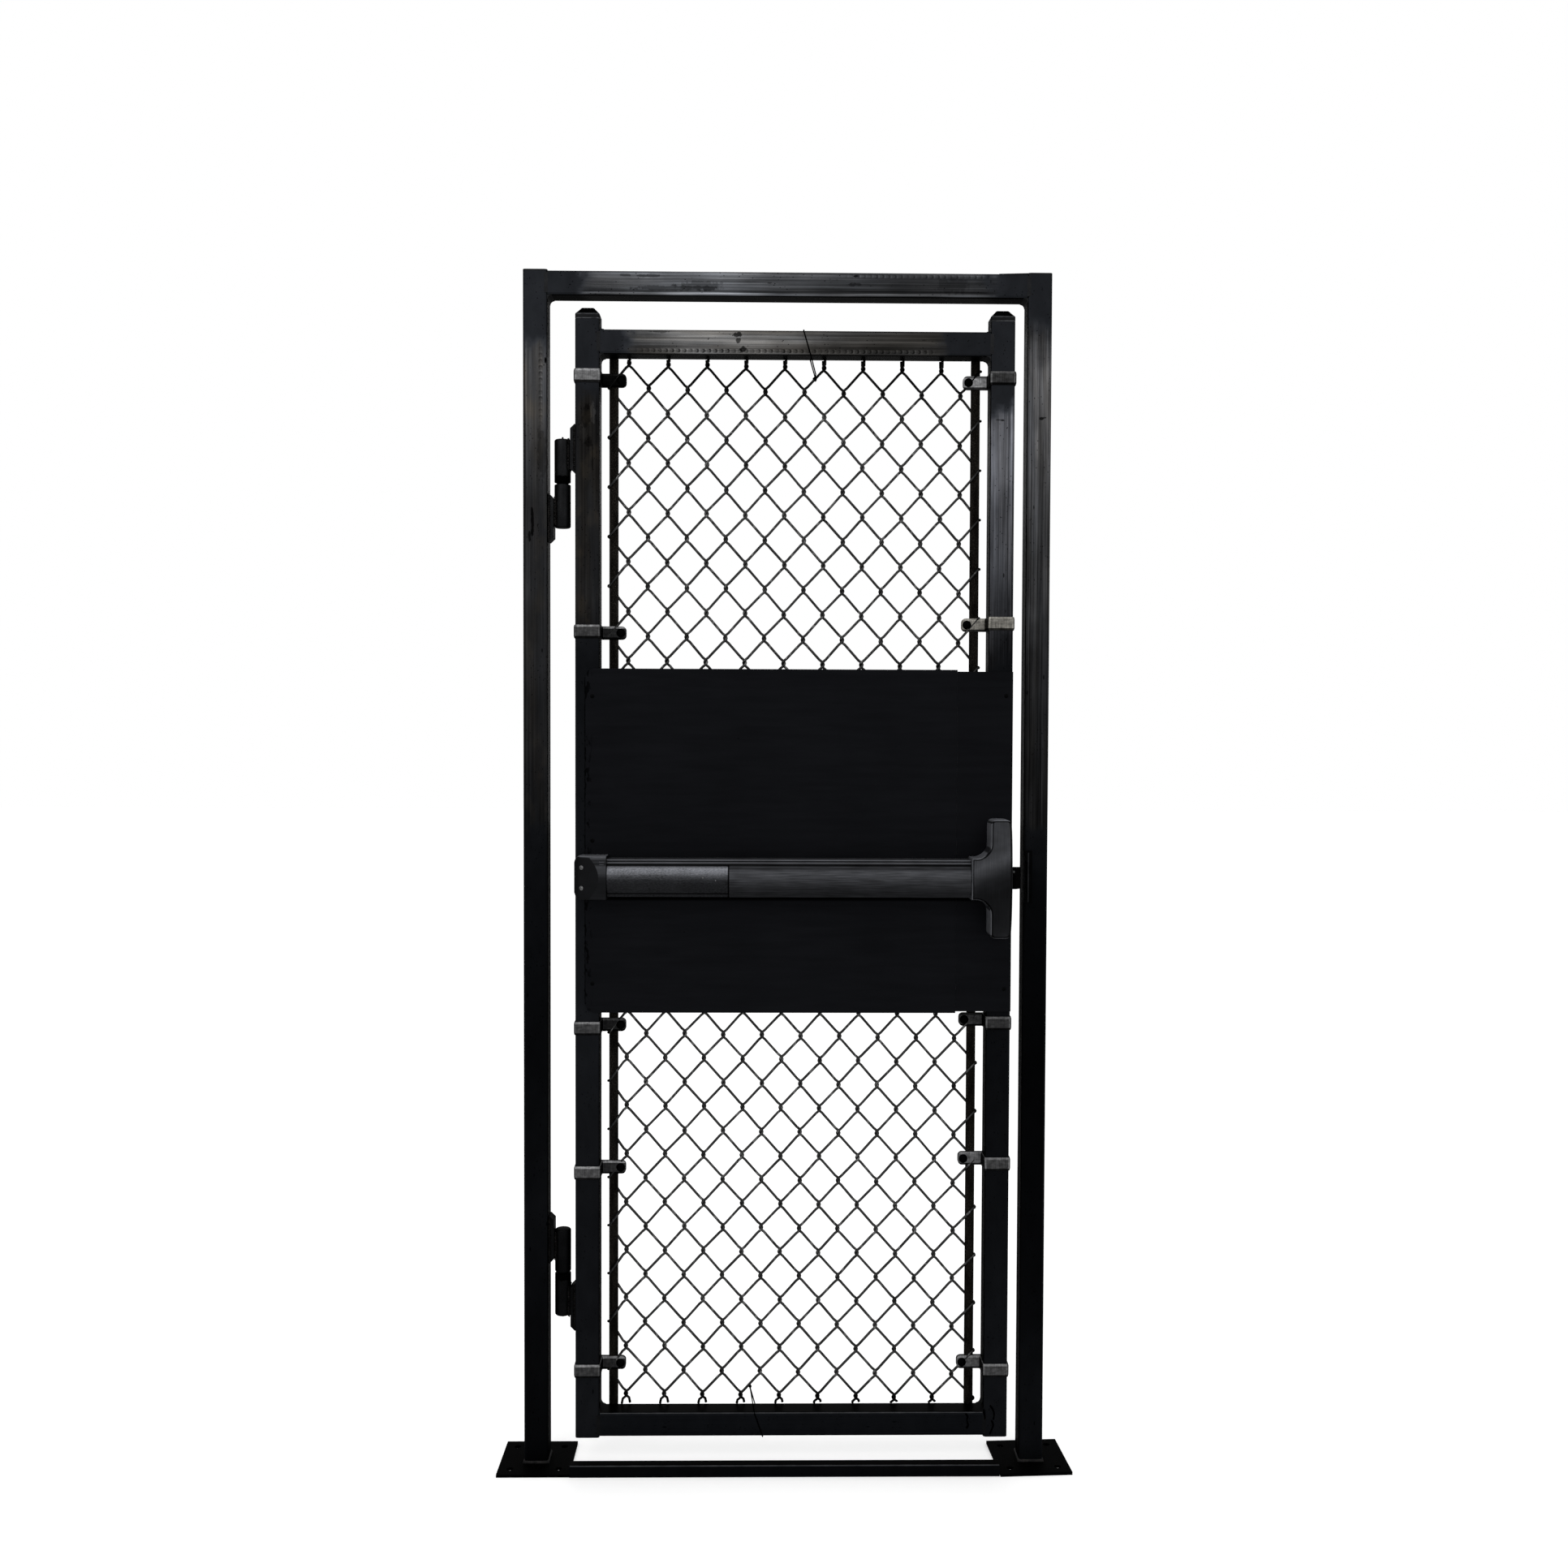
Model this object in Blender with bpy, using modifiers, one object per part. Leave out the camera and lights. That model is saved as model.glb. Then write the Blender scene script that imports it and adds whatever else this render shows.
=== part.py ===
"""Chain link pedestrian gate: a welded portal frame, a swinging leaf and a push bar exit device.

Run with: blender --background --python part.py
Units are metres and +Z is up. The origin is the centre of the underside of the hinge post's base
plate, +X runs from the hinge post to the latch post, and -Y is the side of the push bar. Every
tube, plate, band and bar is an object of its own. The leaf's pieces hang from an empty on the
hinge line, the push pad and the latch bolt from empties on their slides.
"""
import bpy
import bmesh
import math
from mathutils import Matrix, Vector

MM = 0.001
INCH = 25.4 * MM

# Clearances
SEAT_GAP = 0.3 * MM
RUNNING_GAP = 0.8 * MM
CUT_OVERRUN = 5.0 * MM

# Square tube of the portal and of the leaf
TUBE_SIZE = 2.0 * INCH
TUBE_WALL = 3.0 * MM
TUBE_CORNER = 5.0 * MM
CORNER_SEGMENTS = 2

# Portal
PORTAL_HEIGHT = 2508.0 * MM
HEADER_STEP = 2.0 * MM
POST_TOP_THICK = 3.0 * MM
BASE_PLATE_SIZE = 6.0 * INCH
BASE_PLATE_THICK = 0.25 * INCH
BASE_HOLE_RADIUS = 7.0 * MM
BASE_HOLE_INSET = 1.0 * INCH
LATCH_PLATE_TURN = math.radians(3.0)
THRESHOLD_SIZE = 1.0 * INCH
THRESHOLD_WALL = 2.0 * MM
THRESHOLD_CORNER = 2.0 * MM
THRESHOLD_FRONT_STEP = 3.0 * MM

# Leaf frame
LEAF_WIDTH = 36.0 * INCH
HINGE_SIDE_GAP = 2.25 * INCH
LATCH_SIDE_GAP = 1.0 * INCH
LEAF_GROUND_GAP = 60.0 * MM
LEAF_HEADER_GAP = 48.2 * MM
TOP_RAIL_DROP = 21.0 * MM
BOTTOM_RAIL_RISE = 2.0 * MM

# Stile caps
CAP_FLANGE = 11.0 * MM
CAP_RISE = 14.0 * MM
CAP_TOP_INSET = 13.0 * MM
CAP_PLUG_DEPTH = 18.0 * MM

# Hinges, with each leaf plate at a share of its free way from one band to the next
UPPER_HINGE_SHARE = 0.79
LOWER_HINGE_SHARE = 0.234
BARREL_LENGTH = 90.0 * MM
BARREL_CHAMFER = 2.5 * MM
HINGE_PLATE_THICK = 11.0 * MM
HINGE_PLATE_WIDTH = 32.0 * MM
HINGE_PLATE_HEIGHT = 100.0 * MM
HINGE_PLATE_SHIFT = 25.0 * MM
HINGE_PLATE_CHAMFER = 9.0 * MM
PIN_RADIUS = 9.0 * MM
PIN_DEPTH = 76.0 * MM
PIN_CLEARANCE = 0.5 * MM
PIN_END_GAP = 2.0 * MM
COLLAR_RADIUS = 12.3 * MM
COLLAR_HEIGHT = 4.0 * MM
NIPPLE_RADIUS = 3.2 * MM
NIPPLE_HEIGHT = 5.5 * MM
ROUND_STEPS = 20

# Chain link fabric, its tension bars and bands
WIRE_SIZE = 4.0 * MM
HALF_DIAMOND_COUNT = 19
DIAMOND_HEIGHT = 104.8 * MM
FIRST_LOOP_DROP = 61.0 * MM
BAR_WIDTH = 0.75 * INCH
BAR_THICK = 4.8 * MM
BAR_FROM_STILE = 25.7 * MM
BAR_END_GAP = 6.0 * MM
BAND_HEIGHT = 28.0 * MM
BAND_THICK = 2.7 * MM
BAND_BEND = 5.0 * MM
BAND_EAR_REACH = 52.0 * MM
BAND_EAR_CORNER = 9.0 * MM
BAND_FROM_RAIL = 45.0 * MM
BAND_FROM_BOTTOM_RAIL = 90.0 * MM
HINGE_BAND_BELOW_PANEL = 34.0 * MM
LATCH_BAND_BELOW_PANEL = 22.0 * MM
HINGE_BAND_ABOVE_SHARE = 0.118
LATCH_BAND_ABOVE_SHARE = 0.149
HINGE_BAND_MIDDLE_SHARE = 0.58
LATCH_BAND_MIDDLE_SHARE = 0.596
SPARE_ROW_COUNT = 2
KNUCKLE_STRETCH = 3.0 * MM
LOOP_BEND = 2.2 * MM
LOOP_ROOT = 12.0 * MM

# Sheet panels behind the exit device
PANEL_THICK = 3.0 * MM
PANEL_BOTTOM = 964.0 * MM
PANEL_HEIGHT = 720.0 * MM
PANEL_LEFT_INSET = 22.0 * MM
PANEL_CORNER = 17.0 * MM
LOCK_PANEL_WIDTH = 116.0 * MM
LOCK_PANEL_STEP = 3.5 * MM

# Exit device
DEVICE_RISE = 287.0 * MM
RAIL_HEIGHT = 77.6 * MM
RAIL_DEPTH = 46.0 * MM
RAIL_WALL = 3.0 * MM
RAIL_RIDGE = 11.0 * MM
RAIL_LIP = 6.4 * MM
RAIL_STEP = 5.0 * MM
PAD_WALL = 2.5 * MM
PAD_SIDE_DEPTH = 22.0 * MM
PAD_CROWN = 9.0 * MM
PAD_PROUD = 3.0 * MM
PAD_CROWN_STEPS = 6
PAD_TRAVEL = 12.0 * MM
PRESS_CLEARANCE = 5.0 * MM
COVER_LENGTH = 251.0 * MM
COVER_SET_BACK = 1.5 * MM
COVER_LIP_STEP = 1.5 * MM
END_CAP_WIDTH = 68.0 * MM
END_CAP_HEIGHT = 90.0 * MM
END_CAP_DEPTH = 57.0 * MM
END_CAP_INSET = 2.5 * MM
END_CAP_SIDE_DEPTH = 26.0 * MM
END_CAP_COLLAR = 14.0 * MM
END_CAP_CORNER = 14.0 * MM
END_CAP_EDGE = 4.0 * MM
END_CAP_CURVE_STEPS = 5
HEAD_WIDTH = 92.0 * MM
HEAD_HEIGHT = 246.0 * MM
HEAD_DEPTH = 62.0 * MM
HEAD_INSET = 7.0 * MM
HEAD_WING = 50.0 * MM
HEAD_ROOT_HEIGHT = 86.0 * MM
HEAD_COLLAR = 8.0 * MM
HEAD_SWEEP_HEIGHT = 31.0 * MM
HEAD_CORNER = 11.0 * MM
HEAD_EDGE = 8.0 * MM
HEAD_BULGE = 3.0 * MM
HEAD_ARC_STEPS = 4

# Latch and strike
BOLT_HEIGHT = 45.0 * MM
BOLT_THICK = 18.0 * MM
BOLT_BEVEL = 12.0 * MM
BOLT_LENGTH = 68.0 * MM
BOLT_TIP_GAP = 10.0 * MM
BOLT_FROM_POST = 18.0 * MM
BOLT_THROW = 18.0 * MM
BOLT_POCKET_EXTRA = 3.0 * MM
STRIKE_HEIGHT = 110.0 * MM
STRIKE_WIDTH = 17.0 * MM
STRIKE_PLATE_THICK = 3.0 * MM
STRIKE_BLOCK_HEIGHT = 62.0 * MM
STRIKE_BLOCK_WIDTH = 11.0 * MM
STRIKE_BLOCK_DEPTH = 12.0 * MM
STRIKE_BLOCK_BEVEL = 3.0 * MM

# Places worked out from the sizes above
TUBE_HALF = TUBE_SIZE / 2
HINGE_X = TUBE_HALF + HINGE_SIDE_GAP / 2
LEAF_LEFT = TUBE_HALF + HINGE_SIDE_GAP
LEAF_RIGHT = LEAF_LEFT + LEAF_WIDTH
LATCH_POST_LEFT = LEAF_RIGHT + LATCH_SIDE_GAP
LATCH_POST_X = LATCH_POST_LEFT + TUBE_HALF
HINGE_STILE_X = LEAF_LEFT + TUBE_HALF
LATCH_STILE_X = LEAF_RIGHT - TUBE_HALF
STILE_BOTTOM = LEAF_GROUND_GAP
HEADER_BOTTOM = PORTAL_HEIGHT - HEADER_STEP - TUBE_SIZE
STILE_TOP = HEADER_BOTTOM - LEAF_HEADER_GAP
TOP_RAIL_TOP = STILE_TOP - TOP_RAIL_DROP
TOP_RAIL_BOTTOM = TOP_RAIL_TOP - TUBE_SIZE
BOTTOM_RAIL_BOTTOM = STILE_BOTTOM + BOTTOM_RAIL_RISE
BOTTOM_RAIL_TOP = BOTTOM_RAIL_BOTTOM + TUBE_SIZE
BARREL_RADIUS = HINGE_SIDE_GAP / 2 - HINGE_PLATE_THICK - 2 * SEAT_GAP
BORE_RADIUS = (PIN_RADIUS + PIN_CLEARANCE) / math.cos(math.pi / ROUND_STEPS)
BAR_BACK = TUBE_HALF
BAR_FRONT = BAR_BACK - BAR_THICK
HINGE_BAR_X = HINGE_STILE_X + TUBE_HALF + BAR_FROM_STILE
LATCH_BAR_X = LATCH_STILE_X - TUBE_HALF - BAR_FROM_STILE
PANEL_TOP = PANEL_BOTTOM + PANEL_HEIGHT
TOP_BAND_HEIGHT = TOP_RAIL_BOTTOM - BAND_FROM_RAIL
BOTTOM_BAND_HEIGHT = BOTTOM_RAIL_TOP + BAND_FROM_BOTTOM_RAIL
DEVICE_HEIGHT = PANEL_BOTTOM + DEVICE_RISE
PANEL_BACK = -TUBE_HALF - SEAT_GAP
PANEL_FRONT = PANEL_BACK - PANEL_THICK
DEVICE_BACK = PANEL_FRONT - SEAT_GAP
LOCK_PANEL_LEFT = LEAF_RIGHT - LOCK_PANEL_WIDTH
END_CAP_LEFT = LEAF_LEFT + END_CAP_INSET
RAIL_LEFT = END_CAP_LEFT + END_CAP_WIDTH + SEAT_GAP
HEAD_RIGHT = LEAF_RIGHT - HEAD_INSET
HEAD_LEFT = HEAD_RIGHT - HEAD_WIDTH
RAIL_RIGHT = HEAD_LEFT - SEAT_GAP
PAD_LEFT = RAIL_LEFT + COVER_LENGTH + RUNNING_GAP
PAD_RIGHT = RAIL_RIGHT - RUNNING_GAP
RAIL_TOP = DEVICE_HEIGHT + RAIL_HEIGHT / 2
RAIL_BOTTOM = DEVICE_HEIGHT - RAIL_HEIGHT / 2
PAD_TOP = RAIL_TOP - RAIL_RIDGE - RUNNING_GAP
RAIL_FRONT = DEVICE_BACK - RAIL_DEPTH
RAIL_LIP_FRONT = RAIL_FRONT - PAD_PROUD + PAD_WALL + PAD_TRAVEL + PRESS_CLEARANCE
BOLT_TIP_X = LATCH_POST_LEFT - BOLT_TIP_GAP
BOLT_BACK = -TUBE_HALF - BOLT_FROM_POST
BOLT_FRONT = BOLT_BACK - BOLT_THICK

# Finishes: colour, roughness, metallic
FINISHES = {
    "black_steel": ((0.016, 0.016, 0.018, 1.0), 0.42, 0.6),
    "matte_panel": ((0.007, 0.007, 0.008, 1.0), 0.6, 0.1),
    "worn_band": ((0.12, 0.118, 0.115, 1.0), 0.45, 0.7),
    "tension_bar": ((0.012, 0.012, 0.011, 1.0), 0.6, 0.5),
    "fabric_wire": ((0.022, 0.022, 0.022, 1.0), 0.45, 0.4),
    "device_black": ((0.02, 0.02, 0.023, 1.0), 0.38, 0.5),
    "latch_steel": ((0.08, 0.08, 0.085, 1.0), 0.3, 0.9),
}


def clear_scene():
    """Remove every object that the file opened with."""
    for item in list(bpy.data.objects):
        bpy.data.objects.remove(item, do_unlink=True)


def new_collection(name):
    """Make a collection under the scene's own."""
    collection = bpy.data.collections.new(name)
    bpy.context.scene.collection.children.link(collection)
    return collection


def finish_material(name, finish):
    """Make one Principled material from a named finish."""
    colour, roughness, metallic = FINISHES[finish]
    material = bpy.data.materials.new(name + "_finish")
    material.use_nodes = True
    shader = material.node_tree.nodes["Principled BSDF"]
    shader.inputs["Base Color"].default_value = colour
    shader.inputs["Roughness"].default_value = roughness
    shader.inputs["Metallic"].default_value = metallic
    return material


def add_object(name, mesh_data, finish, collection, carrier, place=(0.0, 0.0, 0.0)):
    """Put a bmesh in an object at a world place, carried by an empty or by nothing."""
    mesh = bpy.data.meshes.new(name)
    mesh_data.to_mesh(mesh)
    mesh_data.free()
    item = bpy.data.objects.new(name, mesh)
    mesh.materials.append(finish_material(name, finish))
    collection.objects.link(item)
    item.location = Vector(place)
    if carrier is not None:
        item.parent = carrier
        item.location = Vector(place) - carrier.location
    return item


def add_empty(name, place, collection):
    """Add an empty that carries the pieces of one moving body."""
    empty = bpy.data.objects.new(name, None)
    empty.location = Vector(place)
    collection.objects.link(empty)
    return empty


def add_solidify(item, thickness, inward=True):
    """Give an open surface its wall, inwards or to both sides."""
    wall = item.modifiers.new("wall", "SOLIDIFY")
    wall.thickness = thickness
    wall.offset = -1.0 if inward else 0.0
    wall.use_even_offset = True
    return wall


def shade_round(item, angle=math.radians(35.0)):
    """Shade a round piece smooth, with its corners kept sharp."""
    item.data.shade_smooth()
    item.data.set_sharp_from_angle(angle=angle)


def box_mesh(size, centre=(0.0, 0.0, 0.0)):
    """Return a bmesh box of a size about a centre."""
    mesh = bmesh.new()
    bmesh.ops.create_cube(mesh, size=1.0)
    bmesh.ops.scale(mesh, vec=Vector(size), verts=mesh.verts)
    bmesh.ops.translate(mesh, vec=Vector(centre), verts=mesh.verts)
    return mesh


def edges_along(mesh, axis):
    """List the edges that run along an axis, given as 0, 1 or 2."""
    found = []
    for edge in mesh.edges:
        run = edge.verts[1].co - edge.verts[0].co
        if abs(run[axis]) > 0.999 * run.length:
            found.append(edge)
    return found


def round_edges(mesh, edges, radius, segments=CORNER_SEGMENTS):
    """Round a list of edges to a radius."""
    bmesh.ops.bevel(mesh, geom=edges, offset=radius, segments=segments, profile=0.5,
                    affect="EDGES", clamp_overlap=True)


def tube_mesh(size, length, corner, axis):
    """Return the open outer skin of a square tube along an axis, from its centre."""
    extent = [size, size, size]
    extent[axis] = length
    mesh = box_mesh(extent)
    ends = [face for face in mesh.faces if abs(face.normal[axis]) > 0.5]
    bmesh.ops.delete(mesh, geom=ends, context="FACES_ONLY")
    round_edges(mesh, edges_along(mesh, axis), corner)
    return mesh


def square_tube(name, start, end, axis, collection, carrier, size=TUBE_SIZE, wall=TUBE_WALL,
                corner=TUBE_CORNER):
    """Add a hollow square tube between two points that differ along one axis."""
    start, end = Vector(start), Vector(end)
    mesh = tube_mesh(size, (end - start).length, corner, axis)
    item = add_object(name, mesh, "black_steel", collection, carrier, (start + end) / 2)
    add_solidify(item, wall)
    shade_round(item)
    return item


def turned_piece(name, profile, finish, collection, carrier, place):
    """Add a turned piece from (radius, height) points that run down its outer side."""
    mesh = bmesh.new()
    points = [mesh.verts.new((radius, 0.0, height)) for radius, height in profile]
    for upper, lower in zip(points, points[1:]):
        mesh.edges.new((upper, lower))
    item = add_object(name, mesh, finish, collection, carrier, place)
    turn = item.modifiers.new("turn", "SCREW")
    turn.steps = ROUND_STEPS
    turn.render_steps = ROUND_STEPS
    turn.use_merge_vertices = True
    turn.merge_threshold = 0.00001
    turn.use_smooth_shade = True
    return item


def cut_with(item, cutter):
    """Cut one object with another by an exact Boolean."""
    cut = item.modifiers.new("cut", "BOOLEAN")
    cut.operation = "DIFFERENCE"
    cut.solver = "EXACT"
    cut.object = cutter


def add_cutter(name, mesh_data, place, cutters):
    """Put a bmesh among the cutters, hidden from renders."""
    mesh = bpy.data.meshes.new(name)
    mesh_data.to_mesh(mesh)
    mesh_data.free()
    cutter = bpy.data.objects.new(name, mesh)
    cutter.location = Vector(place)
    cutter.hide_render = True
    cutter.display_type = "WIRE"
    cutters.objects.link(cutter)
    return cutter


def build_post(name, centre_x, parts):
    """Add one post tube and the plate that closes its top."""
    foot = BASE_PLATE_THICK + SEAT_GAP
    tube_top = PORTAL_HEIGHT - POST_TOP_THICK - SEAT_GAP
    square_tube(name, (centre_x, 0.0, foot), (centre_x, 0.0, tube_top), 2, parts, None)
    plate = box_mesh((TUBE_SIZE, TUBE_SIZE, POST_TOP_THICK))
    round_edges(plate, edges_along(plate, 2), TUBE_CORNER)
    middle = PORTAL_HEIGHT - POST_TOP_THICK / 2
    add_object(name + "_top_plate", plate, "black_steel", parts, None, (centre_x, 0.0, middle))


def build_base_plate(name, centre_x, turn, parts, cutters):
    """Add one square base plate with its four anchor holes."""
    plate = box_mesh((BASE_PLATE_SIZE, BASE_PLATE_SIZE, BASE_PLATE_THICK))
    middle = BASE_PLATE_THICK / 2
    item = add_object(name, plate, "black_steel", parts, None, (centre_x, 0.0, middle))
    item.rotation_euler = (0.0, 0.0, turn)
    reach = BASE_PLATE_SIZE / 2 - BASE_HOLE_INSET
    holes = bmesh.new()
    for side_x in (-1, 1):
        for side_y in (-1, 1):
            spot = Matrix.Translation((side_x * reach, side_y * reach, 0.0))
            bmesh.ops.create_cone(holes, cap_ends=True, segments=ROUND_STEPS,
                                  radius1=BASE_HOLE_RADIUS, radius2=BASE_HOLE_RADIUS,
                                  depth=BASE_PLATE_THICK + 2 * CUT_OVERRUN, matrix=spot)
    cutter = add_cutter(name + "_holes", holes, (centre_x, 0.0, middle), cutters)
    cutter.rotation_euler = (0.0, 0.0, turn)
    cut_with(item, cutter)


def build_portal(parts, cutters):
    """Add the posts, the header, the base plates and the threshold."""
    build_post("hinge_post", 0.0, parts)
    build_post("latch_post", LATCH_POST_X, parts)
    header_z = PORTAL_HEIGHT - HEADER_STEP - TUBE_HALF
    square_tube("header", (TUBE_HALF + SEAT_GAP, 0.0, header_z),
                (LATCH_POST_LEFT - SEAT_GAP, 0.0, header_z), 0, parts, None)
    build_base_plate("hinge_post_base_plate", 0.0, 0.0, parts, cutters)
    build_base_plate("latch_post_base_plate", LATCH_POST_X, LATCH_PLATE_TURN, parts, cutters)
    plate_half = BASE_PLATE_SIZE / 2
    front = -plate_half - THRESHOLD_FRONT_STEP
    middle_y = front + THRESHOLD_SIZE / 2
    back_y = front + THRESHOLD_SIZE
    # The turned plate's inner edge leans, so the tube stops where its back corner meets the edge
    edge_x = plate_half / math.cos(LATCH_PLATE_TURN) + back_y * math.tan(LATCH_PLATE_TURN)
    square_tube("threshold", (plate_half + SEAT_GAP, middle_y, THRESHOLD_SIZE / 2),
                (LATCH_POST_X - edge_x - 2 * SEAT_GAP, middle_y, THRESHOLD_SIZE / 2), 0,
                parts, None, THRESHOLD_SIZE, THRESHOLD_WALL, THRESHOLD_CORNER)


def build_stile_cap(name, centre_x, parts, leaf):
    """Add a domed square cap whose plug stands in the top of a stile."""
    plug_half = TUBE_HALF - TUBE_WALL - SEAT_GAP
    mesh = box_mesh((TUBE_SIZE, TUBE_SIZE, CAP_FLANGE), (0.0, 0.0, CAP_FLANGE / 2))
    round_edges(mesh, edges_along(mesh, 2), TUBE_CORNER)
    top = [face for face in mesh.faces if face.normal.z > 0.5]
    dome = bmesh.ops.extrude_face_region(mesh, geom=top)
    bmesh.ops.delete(mesh, geom=top, context="FACES_ONLY")
    raised = [item for item in dome["geom"] if isinstance(item, bmesh.types.BMVert)]
    shrink = (TUBE_HALF - CAP_TOP_INSET) / TUBE_HALF
    bmesh.ops.scale(mesh, vec=(shrink, shrink, 1.0), verts=raised)
    bmesh.ops.translate(mesh, vec=(0.0, 0.0, CAP_RISE), verts=raised)
    under = [face for face in mesh.faces if face.normal.z < -0.5]
    bmesh.ops.inset_region(mesh, faces=under, thickness=TUBE_HALF - plug_half)
    plug = bmesh.ops.extrude_face_region(mesh, geom=under)
    bmesh.ops.delete(mesh, geom=under, context="FACES_ONLY")
    lowered = [item for item in plug["geom"] if isinstance(item, bmesh.types.BMVert)]
    bmesh.ops.translate(mesh, vec=(0.0, 0.0, -CAP_PLUG_DEPTH), verts=lowered)
    item = add_object(name, mesh, "black_steel", parts, leaf,
                      (centre_x, 0.0, STILE_TOP + SEAT_GAP))
    return item


def build_leaf_frame(parts, leaf):
    """Add the stiles with their caps and the two rails between them."""
    for name, centre_x in (("hinge_stile", HINGE_STILE_X), ("latch_stile", LATCH_STILE_X)):
        square_tube(name, (centre_x, 0.0, STILE_BOTTOM), (centre_x, 0.0, STILE_TOP), 2,
                    parts, leaf)
        build_stile_cap(name + "_cap", centre_x, parts, leaf)
    left = LEAF_LEFT + TUBE_SIZE + SEAT_GAP
    right = LEAF_RIGHT - TUBE_SIZE - SEAT_GAP
    for name, bottom in (("top_rail", TOP_RAIL_BOTTOM), ("bottom_rail", BOTTOM_RAIL_BOTTOM)):
        middle = bottom + TUBE_HALF
        square_tube(name, (left, 0.0, middle), (right, 0.0, middle), 0, parts, leaf)


def barrel_profile(greased):
    """Return the half outline of a barrel that is closed at its far end and bored from z = 0."""
    far = BARREL_LENGTH
    bore_depth = PIN_DEPTH + PIN_END_GAP
    if greased:
        tip = [(0.0, far + NIPPLE_HEIGHT), (NIPPLE_RADIUS, far + NIPPLE_HEIGHT),
               (NIPPLE_RADIUS, far)]
    else:
        tip = [(0.0, far)]
    return tip + [(BARREL_RADIUS - BARREL_CHAMFER, far), (BARREL_RADIUS, far - BARREL_CHAMFER),
                  (BARREL_RADIUS, 0.0), (BORE_RADIUS, 0.0), (BORE_RADIUS, bore_depth),
                  (0.0, bore_depth)]


def pin_profile():
    """Return the half outline of a hinge pin with a thrust collar about its middle."""
    half = COLLAR_HEIGHT / 2 - SEAT_GAP
    reach = COLLAR_HEIGHT / 2 + PIN_DEPTH
    return [(0.0, reach), (PIN_RADIUS, reach), (PIN_RADIUS, half), (COLLAR_RADIUS, half),
            (COLLAR_RADIUS, -half), (PIN_RADIUS, -half), (PIN_RADIUS, -reach), (0.0, -reach)]


def build_hinge_plate(name, face_x, centre_z, parts, carrier):
    """Add the chamfered flat that joins a barrel to its tube."""
    mesh = box_mesh((HINGE_PLATE_THICK, HINGE_PLATE_WIDTH, HINGE_PLATE_HEIGHT))
    # The ends are chamfered on the barrel's side only
    barrel_side = 1.0 if face_x < HINGE_X else -1.0
    ends = [edge for edge in edges_along(mesh, 1) if edge.verts[0].co.x * barrel_side > 0.0]
    round_edges(mesh, ends, HINGE_PLATE_CHAMFER, 1)
    centre_x = face_x + barrel_side * (SEAT_GAP + HINGE_PLATE_THICK / 2)
    add_object(name, mesh, "black_steel", parts, carrier, (centre_x, 0.0, centre_z))


def build_hinge(prefix, band_below, band_above, share, leaf_side, parts, leaf):
    """Add one pair of barrels with the pin and both plates between two bands; leaf_side is 1
    when the leaf's barrel is above the frame's and -1 when it is below."""
    offset = COLLAR_HEIGHT / 2
    plate_room = (BAND_HEIGHT + HINGE_PLATE_HEIGHT) / 2
    lowest, highest = band_below + plate_room, band_above - plate_room
    leaf_plate = lowest + (highest - lowest) * share
    middle = leaf_plate - leaf_side * (offset + BARREL_LENGTH / 2 + HINGE_PLATE_SHIFT)
    for owner, side in (("leaf", leaf_side), ("frame", -leaf_side)):
        carrier = leaf if owner == "leaf" else None
        barrel = turned_piece(prefix + "_" + owner + "_barrel", barrel_profile(owner == "leaf"),
                              "black_steel", parts, carrier,
                              (HINGE_X, 0.0, middle + side * offset))
        if side < 0:
            barrel.rotation_euler = (math.pi, 0.0, 0.0)
        face_x = LEAF_LEFT if owner == "leaf" else TUBE_HALF
        plate_z = middle + side * (offset + BARREL_LENGTH / 2 + HINGE_PLATE_SHIFT)
        build_hinge_plate(prefix + "_" + owner + "_plate", face_x, plate_z, parts, carrier)
    turned_piece(prefix + "_pin", pin_profile(), "latch_steel", parts, None,
                 (HINGE_X, 0.0, middle))


def build_tension_bar(name, centre_x, parts, leaf):
    """Add a flat bar that runs down one side of the fabric."""
    height = TOP_RAIL_BOTTOM - BOTTOM_RAIL_TOP - 2 * BAR_END_GAP
    mesh = box_mesh((BAR_WIDTH, BAR_THICK, height))
    place = (centre_x, (BAR_FRONT + BAR_BACK) / 2, (TOP_RAIL_BOTTOM + BOTTOM_RAIL_TOP) / 2)
    add_object(name, mesh, "tension_bar", parts, leaf, place)


def rounded_path(corners, radius, steps=CORNER_SEGMENTS):
    """Return a plan path through corners, each inner one rounded to a radius."""
    path = [Vector(corners[0])]
    for before, corner, after in zip(corners, corners[1:], corners[2:]):
        corner = Vector(corner)
        into = (Vector(before) - corner).normalized()
        out = (Vector(after) - corner).normalized()
        centre = corner + (into + out) * radius
        for step in range(steps + 1):
            turn = (math.pi / 2) * step / steps
            path.append(centre - out * radius * math.cos(turn) - into * radius * math.sin(turn))
    path.append(Vector(corners[-1]))
    return path


def ribbon_mesh(path, height):
    """Return a strip of a height that stands along a plan path."""
    mesh = bmesh.new()
    lower = [mesh.verts.new((point.x, point.y, -height / 2)) for point in path]
    edges = [mesh.edges.new(pair) for pair in zip(lower, lower[1:])]
    raised = bmesh.ops.extrude_edge_only(mesh, edges=edges)
    upper = [item for item in raised["geom"] if isinstance(item, bmesh.types.BMVert)]
    bmesh.ops.translate(mesh, vec=(0.0, 0.0, height), verts=upper)
    bmesh.ops.recalc_face_normals(mesh, faces=mesh.faces)
    return mesh


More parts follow.
